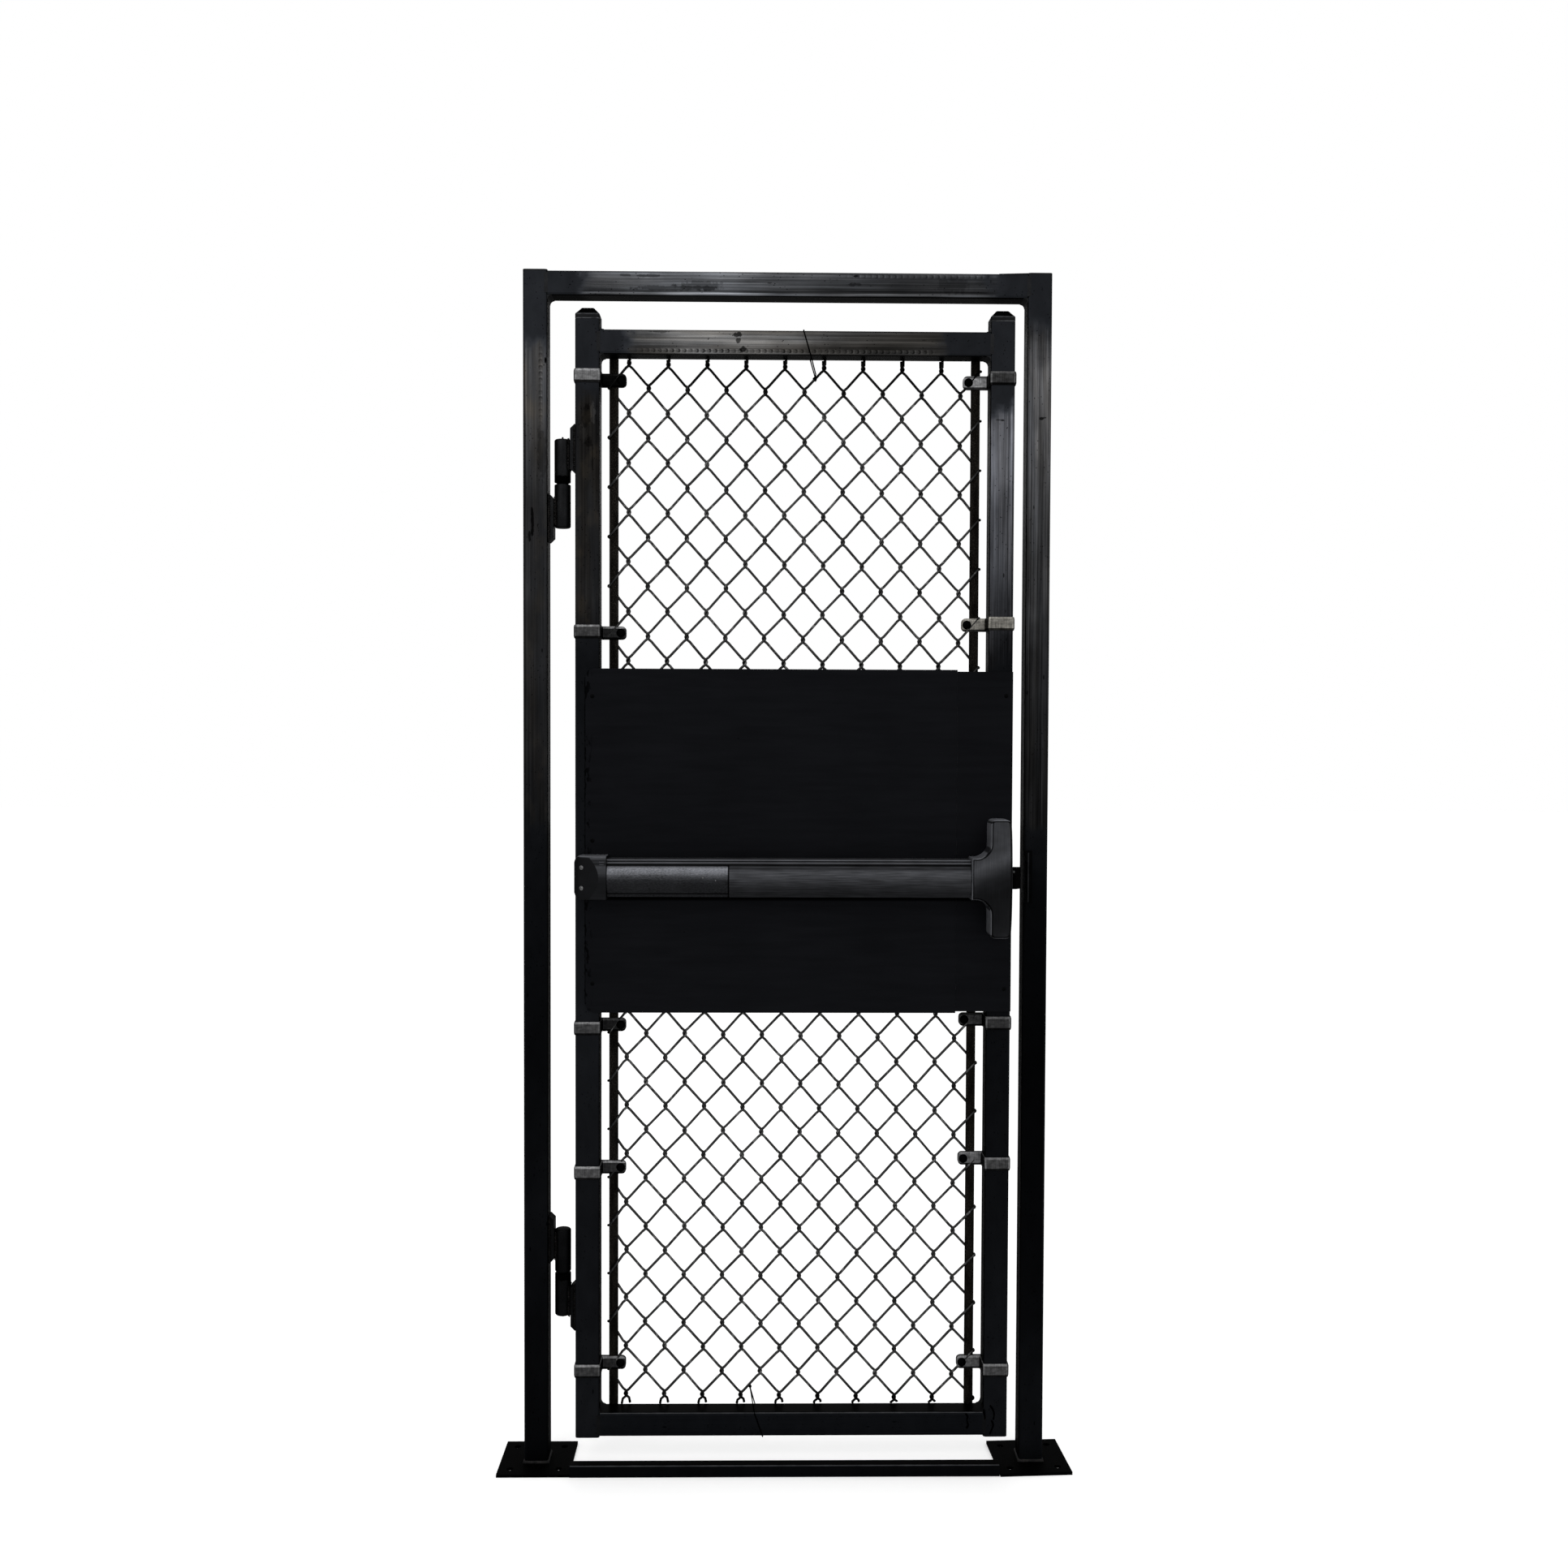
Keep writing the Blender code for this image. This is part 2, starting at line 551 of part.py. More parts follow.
def build_band(name, stile_x, toward, height, parts, leaf):
    """Add a strap that wraps a stile and clamps the tension bar between its two ears."""
    reach = TUBE_HALF + SEAT_GAP + BAND_THICK / 2
    ear_end = TUBE_HALF + BAND_EAR_REACH
    front_ear = BAR_FRONT - SEAT_GAP - BAND_THICK / 2
    corners = [(ear_end, reach), (-reach, reach), (-reach, -reach), (reach, -reach),
               (reach, front_ear), (ear_end, front_ear)]
    path = rounded_path([(toward * x, y) for x, y in corners], BAND_BEND)
    mesh = ribbon_mesh(path, BAND_HEIGHT)
    tips = [vert for vert in mesh.verts if abs(abs(vert.co.x) - ear_end) < SEAT_GAP]
    bmesh.ops.bevel(mesh, geom=tips, offset=BAND_EAR_CORNER, segments=CORNER_SEGMENTS,
                    profile=0.5, affect="VERTICES", clamp_overlap=True)
    item = add_object(name, mesh, "worn_band", parts, leaf, (stile_x, 0.0, height))
    add_solidify(item, BAND_THICK, inward=False)
    shade_round(item)


def band_heights(below_panel, above_share, middle_share):
    """Return the heights of one stile's five bands, from the lowest to the highest."""
    lower = PANEL_BOTTOM - below_panel
    middle = BOTTOM_BAND_HEIGHT + (lower - BOTTOM_BAND_HEIGHT) * middle_share
    upper = PANEL_TOP + (TOP_RAIL_BOTTOM - PANEL_TOP) * above_share
    return [BOTTOM_BAND_HEIGHT, middle, lower, upper, TOP_BAND_HEIGHT]


def hinge_side_heights():
    """Return the heights of the hinge stile's bands."""
    return band_heights(HINGE_BAND_BELOW_PANEL, HINGE_BAND_ABOVE_SHARE, HINGE_BAND_MIDDLE_SHARE)


def latch_side_heights():
    """Return the heights of the latch stile's bands."""
    return band_heights(LATCH_BAND_BELOW_PANEL, LATCH_BAND_ABOVE_SHARE, LATCH_BAND_MIDDLE_SHARE)


def build_bars_and_bands(parts, leaf):
    """Add both tension bars and the five bands of each stile."""
    build_tension_bar("hinge_side_tension_bar", HINGE_BAR_X, parts, leaf)
    build_tension_bar("latch_side_tension_bar", LATCH_BAR_X, parts, leaf)
    for number, height in enumerate(hinge_side_heights(), 1):
        build_band("hinge_side_band_%d" % number, HINGE_STILE_X, 1, height, parts, leaf)
    for number, height in enumerate(latch_side_heights(), 1):
        build_band("latch_side_band_%d" % number, LATCH_STILE_X, -1, height, parts, leaf)


def keep_largest_island(mesh):
    """Delete the small scraps that trimming leaves apart from the rest."""
    unseen = set(mesh.faces)
    islands = []
    while unseen:
        queue = [unseen.pop()]
        island = set(queue)
        while queue:
            for edge in queue.pop().edges:
                for face in edge.link_faces:
                    if face in unseen:
                        unseen.discard(face)
                        island.add(face)
                        queue.append(face)
        islands.append(island)
    islands.sort(key=len, reverse=True)
    scraps = [face for island in islands[1:] for face in island]
    bmesh.ops.delete(mesh, geom=scraps, context="FACES")


def fabric_lattice(left, right, bottom, top, diamond_width, node_x, node_z):
    """Return the flat strips of the fabric in the XY plane, trimmed to a rectangle."""
    rows = math.ceil((right - left) / diamond_width + (top - bottom) / DIAMOND_HEIGHT)
    rows += SPARE_ROW_COUNT + rows % 2
    mesh = bmesh.new()
    bmesh.ops.create_grid(mesh, x_segments=rows, y_segments=rows, size=rows / 2)
    bmesh.ops.rotate(mesh, cent=(0.0, 0.0, 0.0), verts=mesh.verts,
                     matrix=Matrix.Rotation(math.pi / 4, 3, "Z"))
    half_turn_scale = (diamond_width / math.sqrt(2.0), DIAMOND_HEIGHT / math.sqrt(2.0), 1.0)
    bmesh.ops.scale(mesh, vec=half_turn_scale, verts=mesh.verts)
    bmesh.ops.translate(mesh, vec=(node_x, node_z, 0.0), verts=mesh.verts)
    inner = [edge for edge in mesh.edges if len(edge.link_faces) == 2]
    wires = bmesh.ops.bevel(mesh, geom=inner, offset=WIRE_SIZE / 2, segments=1, profile=0.5,
                            affect="EDGES", clamp_overlap=True)
    strips = set(wires["faces"])
    holes = [face for face in mesh.faces if face not in strips]
    bmesh.ops.delete(mesh, geom=holes, context="FACES")
    stretch_knuckles(mesh)
    sides = (((left, 0.0, 0.0), (-1.0, 0.0, 0.0)), ((right, 0.0, 0.0), (1.0, 0.0, 0.0)),
             ((0.0, bottom, 0.0), (0.0, -1.0, 0.0)), ((0.0, top, 0.0), (0.0, 1.0, 0.0)))
    for spot, normal in sides:
        everything = list(mesh.verts) + list(mesh.edges) + list(mesh.faces)
        bmesh.ops.bisect_plane(mesh, geom=everything, plane_co=spot, plane_no=normal,
                               clear_outer=True)
    keep_largest_island(mesh)
    return mesh


def stretch_knuckles(mesh):
    """Draw each crossing out upwards and downwards, as the wires hook round each other there."""
    reach = 2 * WIRE_SIZE
    for face in mesh.faces:
        if max(edge.calc_length() for edge in face.edges) < reach:
            upper = max(face.verts, key=lambda vert: vert.co.y)
            lower = min(face.verts, key=lambda vert: vert.co.y)
            upper.co.y += KNUCKLE_STRETCH
            lower.co.y -= KNUCKLE_STRETCH


def loop_points(outer_x, inward, lean, node_z, slope):
    """Return the path of one picket's end, in front of the tension bar, round it and back."""
    middle = (BAR_FRONT + BAR_BACK) / 2
    away = SEAT_GAP + WIRE_SIZE / 2
    front, back = BAR_FRONT - away, BAR_BACK + away
    bend = BAR_WIDTH + LOOP_BEND
    root = BAR_WIDTH + LOOP_ROOT
    # The turn round the bar's edge follows an octagon that keeps the wire clear of its corners
    cut = away * math.tan(math.pi / 8)
    turn = [(-cut, front), (-away, BAR_FRONT - cut), (-away, BAR_BACK + cut), (-cut, back)]
    path = [(outer_x + inward * u, y, node_z + lean * slope * u)
            for u, y in ((root, middle), (bend, front))]
    path += [(outer_x + inward * u, y, node_z) for u, y in turn]
    path += [(outer_x + inward * u, y, node_z - lean * slope * u)
             for u, y in ((bend, back), (root, middle))]
    return path


def build_loops(cutters, diamond_width, top, bottom):
    """Return one cutter object with every loop that wraps a tension bar between the bands."""
    slope = DIAMOND_HEIGHT / diamond_width
    keep_off = slope * (BAR_WIDTH + LOOP_ROOT) + BAND_HEIGHT / 2 + WIRE_SIZE
    curve = bpy.data.curves.new("fabric_loops_path", "CURVE")
    curve.dimensions = "3D"
    curve.bevel_depth = WIRE_SIZE / 2
    curve.bevel_resolution = 0
    curve.use_fill_caps = True
    hinge_end = (HINGE_BAR_X - BAR_WIDTH / 2, 1, 1, hinge_side_heights(), FIRST_LOOP_DROP)
    latch_drop = FIRST_LOOP_DROP + DIAMOND_HEIGHT / 2
    latch_end = (LATCH_BAR_X + BAR_WIDTH / 2, -1, -1, latch_side_heights(), latch_drop)
    for outer_x, inward, lean, bands, drop in (hinge_end, latch_end):
        node_z = top - drop
        while node_z - keep_off > bottom:
            if all(abs(node_z - height) > keep_off for height in bands):
                points = loop_points(outer_x, inward, lean, node_z, slope)
                spline = curve.splines.new("POLY")
                spline.points.add(len(points) - 1)
                for spot, point in zip(spline.points, points):
                    spot.co = (point[0], point[1], point[2], 1.0)
            node_z -= DIAMOND_HEIGHT
    route = bpy.data.objects.new("fabric_loops_path", curve)
    cutters.objects.link(route)
    bpy.context.view_layer.update()
    loops = bmesh.new()
    loops.from_mesh(route.evaluated_get(bpy.context.evaluated_depsgraph_get()).to_mesh())
    bmesh.ops.remove_doubles(loops, verts=loops.verts, dist=SEAT_GAP / 10)
    bmesh.ops.recalc_face_normals(loops, faces=loops.faces)
    bpy.data.objects.remove(route, do_unlink=True)
    return add_cutter("fabric_loops", loops, (0.0, 0.0, 0.0), cutters)


def build_fabric(parts, cutters, leaf):
    """Add the chain link fabric: wires fused at every crossing, looped round both bars."""
    left = HINGE_BAR_X + BAR_WIDTH / 2 + SEAT_GAP
    right = LATCH_BAR_X - BAR_WIDTH / 2 - SEAT_GAP
    bottom = BOTTOM_RAIL_TOP + SEAT_GAP
    top = TOP_RAIL_BOTTOM - SEAT_GAP
    first_loop_x = HINGE_BAR_X - BAR_WIDTH / 2
    last_loop_x = LATCH_BAR_X + BAR_WIDTH / 2
    diamond_width = 2 * (last_loop_x - first_loop_x) / HALF_DIAMOND_COUNT
    # The middle crossing of the sheet falls on the first loop's rows and columns
    steps_down = round((top - FIRST_LOOP_DROP - (top + bottom) / 2) / DIAMOND_HEIGHT)
    node_z = top - FIRST_LOOP_DROP - steps_down * DIAMOND_HEIGHT
    steps_in = round(((left + right) / 2 - first_loop_x) / diamond_width)
    node_x = first_loop_x + steps_in * diamond_width
    mesh = fabric_lattice(left, right, bottom, top, diamond_width, node_x, node_z)
    bmesh.ops.rotate(mesh, cent=(0.0, 0.0, 0.0), verts=mesh.verts,
                     matrix=Matrix.Rotation(math.pi / 2, 3, "X"))
    item = add_object("chain_link_fabric", mesh, "fabric_wire", parts, leaf,
                      (0.0, (BAR_FRONT + BAR_BACK) / 2, 0.0))
    add_solidify(item, WIRE_SIZE, inward=False)
    join = item.modifiers.new("loops", "BOOLEAN")
    join.operation = "UNION"
    join.solver = "EXACT"
    join.object = build_loops(cutters, diamond_width, top, bottom)


def build_panels(parts, leaf):
    """Add the sheet across the leaf and the narrower one on the latch stile."""
    left = LEAF_LEFT + PANEL_LEFT_INSET
    width = LOCK_PANEL_LEFT - SEAT_GAP - left
    middle_y = (PANEL_BACK + PANEL_FRONT) / 2
    middle_z = PANEL_BOTTOM + PANEL_HEIGHT / 2
    mesh = box_mesh((width, PANEL_THICK, PANEL_HEIGHT))
    corners = [edge for edge in edges_along(mesh, 1) if edge.verts[0].co.x < 0.0]
    round_edges(mesh, corners, PANEL_CORNER)
    add_object("centre_panel", mesh, "matte_panel", parts, leaf,
               (left + width / 2, middle_y, middle_z))
    mesh = box_mesh((LOCK_PANEL_WIDTH, PANEL_THICK, PANEL_HEIGHT - 2 * LOCK_PANEL_STEP))
    add_object("lock_panel", mesh, "matte_panel", parts, leaf,
               (LOCK_PANEL_LEFT + LOCK_PANEL_WIDTH / 2, middle_y, middle_z))


def extruded_section(outline, start_x, end_x):
    """Return a solid whose (y, z) outline runs along X from one place to another."""
    mesh = bmesh.new()
    ring = [mesh.verts.new((start_x, y, z)) for y, z in outline]
    face = mesh.faces.new(ring)
    grown = bmesh.ops.extrude_face_region(mesh, geom=[face])
    moved = [item for item in grown["geom"] if isinstance(item, bmesh.types.BMVert)]
    bmesh.ops.translate(mesh, vec=(end_x - start_x, 0.0, 0.0), verts=moved)
    bmesh.ops.recalc_face_normals(mesh, faces=mesh.faces)
    return mesh


def build_device_rail(parts, leaf):
    """Add the stepped channel that carries the cover and the push pad."""
    back, front = DEVICE_BACK, RAIL_FRONT
    floor = back - RAIL_WALL
    step_z = RAIL_TOP - RAIL_RIDGE / 2
    outline = [
        (back, RAIL_BOTTOM), (back, RAIL_TOP), (front + RAIL_STEP, RAIL_TOP),
        (front + RAIL_STEP, step_z), (front, step_z), (front, RAIL_TOP - RAIL_RIDGE),
        (floor, RAIL_TOP - RAIL_RIDGE), (floor, RAIL_BOTTOM + RAIL_WALL),
        (RAIL_LIP_FRONT, RAIL_BOTTOM + RAIL_WALL), (RAIL_LIP_FRONT, RAIL_BOTTOM),
    ]
    mesh = extruded_section(outline, RAIL_LEFT, RAIL_RIGHT)
    add_object("exit_device_rail", mesh, "device_black", parts, leaf)


def strip_outline(face_y, face_bottom, lip_step):
    """Return the (y, z) section of a crowned strip: its face, the lip that hangs over the
    channel's lower wall, and the two flanges that reach into the channel."""
    back_y = face_y + PAD_SIDE_DEPTH
    lip_y = face_y + lip_step
    middle, half = (PAD_TOP + face_bottom) / 2, (PAD_TOP - face_bottom) / 2
    flange = RAIL_BOTTOM + RAIL_WALL + RUNNING_GAP
    inner_top, inner_bottom = PAD_TOP - PAD_WALL, max(flange, face_bottom) + PAD_WALL

    def crown_y(z):
        """Return how far forward the crowned face stands at a height."""
        share = (z - middle) / half
        return face_y - PAD_CROWN * (1.0 - share * share)

    outline = []
    for step in range(PAD_CROWN_STEPS + 1):
        z = PAD_TOP + (face_bottom - PAD_TOP) * step / PAD_CROWN_STEPS
        outline.append((crown_y(z), z))
    if lip_step > 0.0:
        outline += [(lip_y, face_bottom), (lip_y, RAIL_BOTTOM)]
    outline += [(lip_y + PAD_WALL, RAIL_BOTTOM), (lip_y + PAD_WALL, flange), (back_y, flange),
                (back_y, flange + PAD_WALL), (lip_y + PAD_WALL, flange + PAD_WALL)]
    for step in range(PAD_CROWN_STEPS + 1):
        z = inner_bottom + (inner_top - inner_bottom) * step / PAD_CROWN_STEPS
        outline.append((crown_y(z) + PAD_WALL, z))
    outline += [(back_y, inner_top), (back_y, PAD_TOP)]
    return outline


def crowned_strip(name, start_x, end_x, outline, parts, carrier):
    """Add a crowned strip of the exit device along X."""
    mesh = extruded_section(outline, start_x, end_x)
    item = add_object(name, mesh, "device_black", parts, carrier)
    shade_round(item)


def build_end_cap(parts, leaf):
    """Add the cap of the hinge end, whose front curves back towards the hinge side."""
    middle = (END_CAP_WIDTH / 2, -END_CAP_DEPTH / 2, 0.0)
    mesh = box_mesh((END_CAP_WIDTH, END_CAP_DEPTH, END_CAP_HEIGHT), middle)
    corners = [edge for edge in edges_along(mesh, 1) if edge.verts[0].co.x < END_CAP_WIDTH / 2]
    round_edges(mesh, corners, END_CAP_CORNER)
    reach = END_CAP_WIDTH - END_CAP_COLLAR
    for step in range(1, END_CAP_CURVE_STEPS + 1):
        turn = math.pi / 2 * step / END_CAP_CURVE_STEPS
        everything = list(mesh.verts) + list(mesh.edges) + list(mesh.faces)
        bmesh.ops.bisect_plane(mesh, geom=everything, plane_no=(1.0, 0.0, 0.0),
                               plane_co=(reach * (1.0 - math.cos(turn)), 0.0, 0.0))
    front = [vert for vert in mesh.verts if vert.co.y < -END_CAP_DEPTH / 2]
    for vert in front:
        share = min(vert.co.x / reach, 1.0)
        curve = math.sqrt(1.0 - (1.0 - share) ** 2)
        vert.co.y = -END_CAP_SIDE_DEPTH - (END_CAP_DEPTH - END_CAP_SIDE_DEPTH) * curve
    rim = [edge for edge in mesh.edges if all(vert in front for vert in edge.verts)
           and any(vert not in front for face in edge.link_faces for vert in face.verts)
           and edge not in edges_along(mesh, 2)]
    round_edges(mesh, rim, END_CAP_EDGE)
    item = add_object("exit_device_end_cap", mesh, "device_black", parts, leaf,
                      (END_CAP_LEFT, DEVICE_BACK, DEVICE_HEIGHT))
    shade_round(item)


def arc(centre_x, centre_z, radius_x, radius_z, start, end):
    """Return points on an elliptical arc between two angles."""
    turns = [start + (end - start) * step / HEAD_ARC_STEPS for step in range(HEAD_ARC_STEPS + 1)]
    return [(centre_x + radius_x * math.cos(turn), centre_z + radius_z * math.sin(turn))
            for turn in turns]


def head_outline():
    """Return the (x, z) outline of the T-shaped head, about its right edge's middle."""
    half, root = HEAD_HEIGHT / 2, HEAD_ROOT_HEIGHT / 2
    quarter = math.pi / 2
    shoulder = half - HEAD_CORNER
    sweep = HEAD_WIDTH - HEAD_WING - HEAD_COLLAR
    upper = arc(-HEAD_BULGE, 0.0, HEAD_BULGE, shoulder, 0.0, quarter)
    upper += arc(-HEAD_BULGE - HEAD_CORNER, shoulder, HEAD_CORNER, HEAD_CORNER, 0.0, quarter)[1:]
    upper += arc(HEAD_CORNER - HEAD_WING, shoulder, HEAD_CORNER, HEAD_CORNER, quarter, math.pi)
    # The concave sweep from the wing down to the collar that meets the rail
    upper += arc(-HEAD_WING - sweep, root + HEAD_SWEEP_HEIGHT, sweep, HEAD_SWEEP_HEIGHT,
                 0.0, -quarter)
    upper.append((-HEAD_WIDTH, root))
    lower = [(x, -z) for x, z in reversed(upper[1:])]
    return upper + lower


def build_head(parts, cutters, leaf):
    """Add the T-shaped latch case with the pocket that the bolt slides in."""
    mesh = bmesh.new()
    ring = [mesh.verts.new((x, 0.0, z)) for x, z in head_outline()]
    face = mesh.faces.new(ring)
    grown = bmesh.ops.extrude_face_region(mesh, geom=[face])
    moved = [item for item in grown["geom"] if isinstance(item, bmesh.types.BMVert)]
    bmesh.ops.translate(mesh, vec=(0.0, -HEAD_DEPTH, 0.0), verts=moved)
    bmesh.ops.recalc_face_normals(mesh, faces=mesh.faces)
    rim = [edge for edge in mesh.edges
           if all(vert.co.y < -HEAD_DEPTH + SEAT_GAP for vert in edge.verts)]
    round_edges(mesh, rim, HEAD_EDGE)
    item = add_object("exit_device_head", mesh, "device_black", parts, leaf,
                      (HEAD_RIGHT, DEVICE_BACK, DEVICE_HEIGHT))
    shade_round(item)
    tail = BOLT_TIP_X - BOLT_LENGTH - BOLT_THROW - BOLT_POCKET_EXTRA
    pocket = box_mesh((HEAD_RIGHT + CUT_OVERRUN - tail, BOLT_THICK + 2 * RUNNING_GAP,
                       BOLT_HEIGHT + 2 * RUNNING_GAP))
    place = ((HEAD_RIGHT + CUT_OVERRUN + tail) / 2, (BOLT_FRONT + BOLT_BACK) / 2, DEVICE_HEIGHT)
    cut_with(item, add_cutter("bolt_pocket", pocket, place, cutters))


def build_latch_bolt(parts, bolt_slide):
    """Add the latch bolt, with its nose bevelled on the closing side."""
    mesh = box_mesh((BOLT_LENGTH, BOLT_THICK, BOLT_HEIGHT), (-BOLT_LENGTH / 2, 0.0, 0.0))
    nose = [edge for edge in edges_along(mesh, 2)
            if edge.verts[0].co.x > -SEAT_GAP and edge.verts[0].co.y < 0.0]
    round_edges(mesh, nose, BOLT_BEVEL, 1)
    add_object("latch_bolt", mesh, "latch_steel", parts, bolt_slide,
               (BOLT_TIP_X, (BOLT_FRONT + BOLT_BACK) / 2, DEVICE_HEIGHT))


def build_strike(parts):
    """Add the strike: a thin plate on the latch post with the keeper block standing on it."""
    left = LATCH_POST_LEFT + SEAT_GAP
    plate_front = -TUBE_HALF - SEAT_GAP - STRIKE_PLATE_THICK
    mesh = box_mesh((STRIKE_WIDTH, STRIKE_PLATE_THICK, STRIKE_HEIGHT))
    front = [face for face in mesh.faces if face.normal.y < -0.5]
    side_rim = (STRIKE_WIDTH - STRIKE_BLOCK_WIDTH) / 2
    bmesh.ops.inset_region(mesh, faces=front, thickness=side_rim)
    grown = bmesh.ops.extrude_face_region(mesh, geom=front)
    bmesh.ops.delete(mesh, geom=front, context="FACES_ONLY")
    moved = [item for item in grown["geom"] if isinstance(item, bmesh.types.BMVert)]
    squeeze = STRIKE_BLOCK_HEIGHT / (STRIKE_HEIGHT - 2 * side_rim)
    bmesh.ops.translate(mesh, vec=(0.0, -STRIKE_BLOCK_DEPTH, 0.0), verts=moved)
    bmesh.ops.scale(mesh, vec=(1.0, 1.0, squeeze), verts=moved)
    round_edges(mesh, [edge for edge in edges_along(mesh, 2) if edge.verts[0] in moved],
                STRIKE_BLOCK_BEVEL, 1)
    add_object("latch_strike", mesh, "black_steel", parts, None,
               (left + STRIKE_WIDTH / 2, plate_front + STRIKE_PLATE_THICK / 2, DEVICE_HEIGHT))


def build_exit_device(parts, cutters, leaf):
    """Add the exit device: channel, cover, end cap, head, push pad and latch bolt."""
    build_device_rail(parts, leaf)
    face_y = RAIL_FRONT - PAD_PROUD
    cover = strip_outline(face_y + COVER_SET_BACK, RAIL_BOTTOM + RAIL_LIP, COVER_LIP_STEP)
    crowned_strip("exit_device_cover", RAIL_LEFT, RAIL_LEFT + COVER_LENGTH, cover, parts, leaf)
    build_end_cap(parts, leaf)
    build_head(parts, cutters, leaf)
    pad_slide = add_empty("push_pad_slide", (PAD_LEFT, RAIL_FRONT, DEVICE_HEIGHT), parts)
    pad = strip_outline(face_y, RAIL_BOTTOM, 0.0)
    crowned_strip("push_pad", PAD_LEFT, PAD_RIGHT, pad, parts, pad_slide)
    bolt_slide = add_empty("latch_bolt_slide", (BOLT_TIP_X, BOLT_BACK, DEVICE_HEIGHT), parts)
    build_latch_bolt(parts, bolt_slide)


def main():
    """Build the whole gate."""
    clear_scene()
    parts = new_collection("chain_link_pedestrian_gate")
    cutters = new_collection("cutters")
    leaf = add_empty("leaf_hinge_line", (HINGE_X, 0.0, 0.0), parts)
    build_portal(parts, cutters)
    build_leaf_frame(parts, leaf)
    bands = hinge_side_heights()
    build_hinge("upper_hinge", bands[3], bands[4], UPPER_HINGE_SHARE, 1, parts, leaf)
    build_hinge("lower_hinge", bands[0], bands[1], LOWER_HINGE_SHARE, -1, parts, leaf)
    build_bars_and_bands(parts, leaf)
    build_fabric(parts, cutters, leaf)
    build_panels(parts, leaf)
    build_exit_device(parts, cutters, leaf)
    build_strike(parts)


main()
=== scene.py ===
"""Looks of the chain link pedestrian gate: finishes, woven wire, straps, welds, screws and studio.

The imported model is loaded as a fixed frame. Its tubes, plates and sheets keep their shape and get
their finish here. The woven fabric, the straps, the hinge barrels, the caps and the castings of
the exit device are modelled in detail over their solids, and the welds, bolts, screws and wire
ties that the solids leave out are added. Lengths are metres, +Z is up and -Y faces the camera.
"""
import logging
import math
from dataclasses import dataclass, field
from enum import Enum
from typing import Iterable, Sequence, Union

import bmesh
import bpy
from mathutils import Matrix, Vector

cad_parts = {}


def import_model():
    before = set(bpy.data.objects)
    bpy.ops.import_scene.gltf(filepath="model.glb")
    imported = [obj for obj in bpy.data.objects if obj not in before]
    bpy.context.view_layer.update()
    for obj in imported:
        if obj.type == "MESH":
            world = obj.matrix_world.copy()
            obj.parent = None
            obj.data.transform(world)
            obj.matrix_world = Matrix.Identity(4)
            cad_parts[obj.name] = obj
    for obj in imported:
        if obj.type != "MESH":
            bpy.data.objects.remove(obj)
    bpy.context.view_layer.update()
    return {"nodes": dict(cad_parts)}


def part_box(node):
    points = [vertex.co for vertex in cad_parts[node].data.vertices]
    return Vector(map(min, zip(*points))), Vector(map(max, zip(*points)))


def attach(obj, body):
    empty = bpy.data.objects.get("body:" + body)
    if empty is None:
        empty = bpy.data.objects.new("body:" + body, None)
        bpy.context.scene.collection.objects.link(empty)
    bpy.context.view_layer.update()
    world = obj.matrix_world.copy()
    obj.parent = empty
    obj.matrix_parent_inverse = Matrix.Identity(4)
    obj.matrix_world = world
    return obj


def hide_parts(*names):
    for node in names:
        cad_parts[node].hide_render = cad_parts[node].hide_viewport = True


LOG = logging.getLogger("gate")
MM = 0.001
# The zones across a tube hold shares of this brightness
PROFILE_TOP = 2.5
# Where the middle of the gate is along X
MIDDLE = 0.5
# Most of a noise keeps between these two values
NOISE_RANGE = (0.3, 0.7)
# Vertices nearer to each other than this become one
WELD_REACH = 0.001 * MM

Colour = tuple[float, float, float]
Socket = bpy.types.NodeSocket
Value = Union[float, Socket]
Point = tuple[float, float, float]
Size = Union[float, Point]
Mesh = bmesh.types.BMesh
Edge = bmesh.types.BMEdge


class Axis(Enum):
    """An axis of the gate's own frame."""

    X = 0
    Y = 1
    Z = 2


class Body(Enum):
    """The bodies that a piece can ride on."""

    FRAME = "frame"
    LEAF = "leaf"
    PAD = "push_pad"
    BOLT = "latch_bolt"


class Slot(Enum):
    """The material slots that a piece can belong to."""

    STEEL = "black_steel"
    PANEL = "black_panel"
    BAND = "worn_band"
    BAR = "tension_bar"
    WIRE = "fabric_wire"
    DEVICE = "device_black"
    LATCH = "latch_steel"


class Side(Enum):
    """The two sides of the leaf, each with the way that leads to the fabric."""

    HINGE = 1
    LATCH = -1


class Op(Enum):
    """The sums that a finish works out in its nodes."""

    ADD = "ADD"
    SUBTRACT = "SUBTRACT"
    MULTIPLY = "MULTIPLY"
    MAXIMUM = "MAXIMUM"
    ABSOLUTE = "ABSOLUTE"
    FRACTION = "FRACT"
    ROOT = "SQRT"


# ---- Finishes


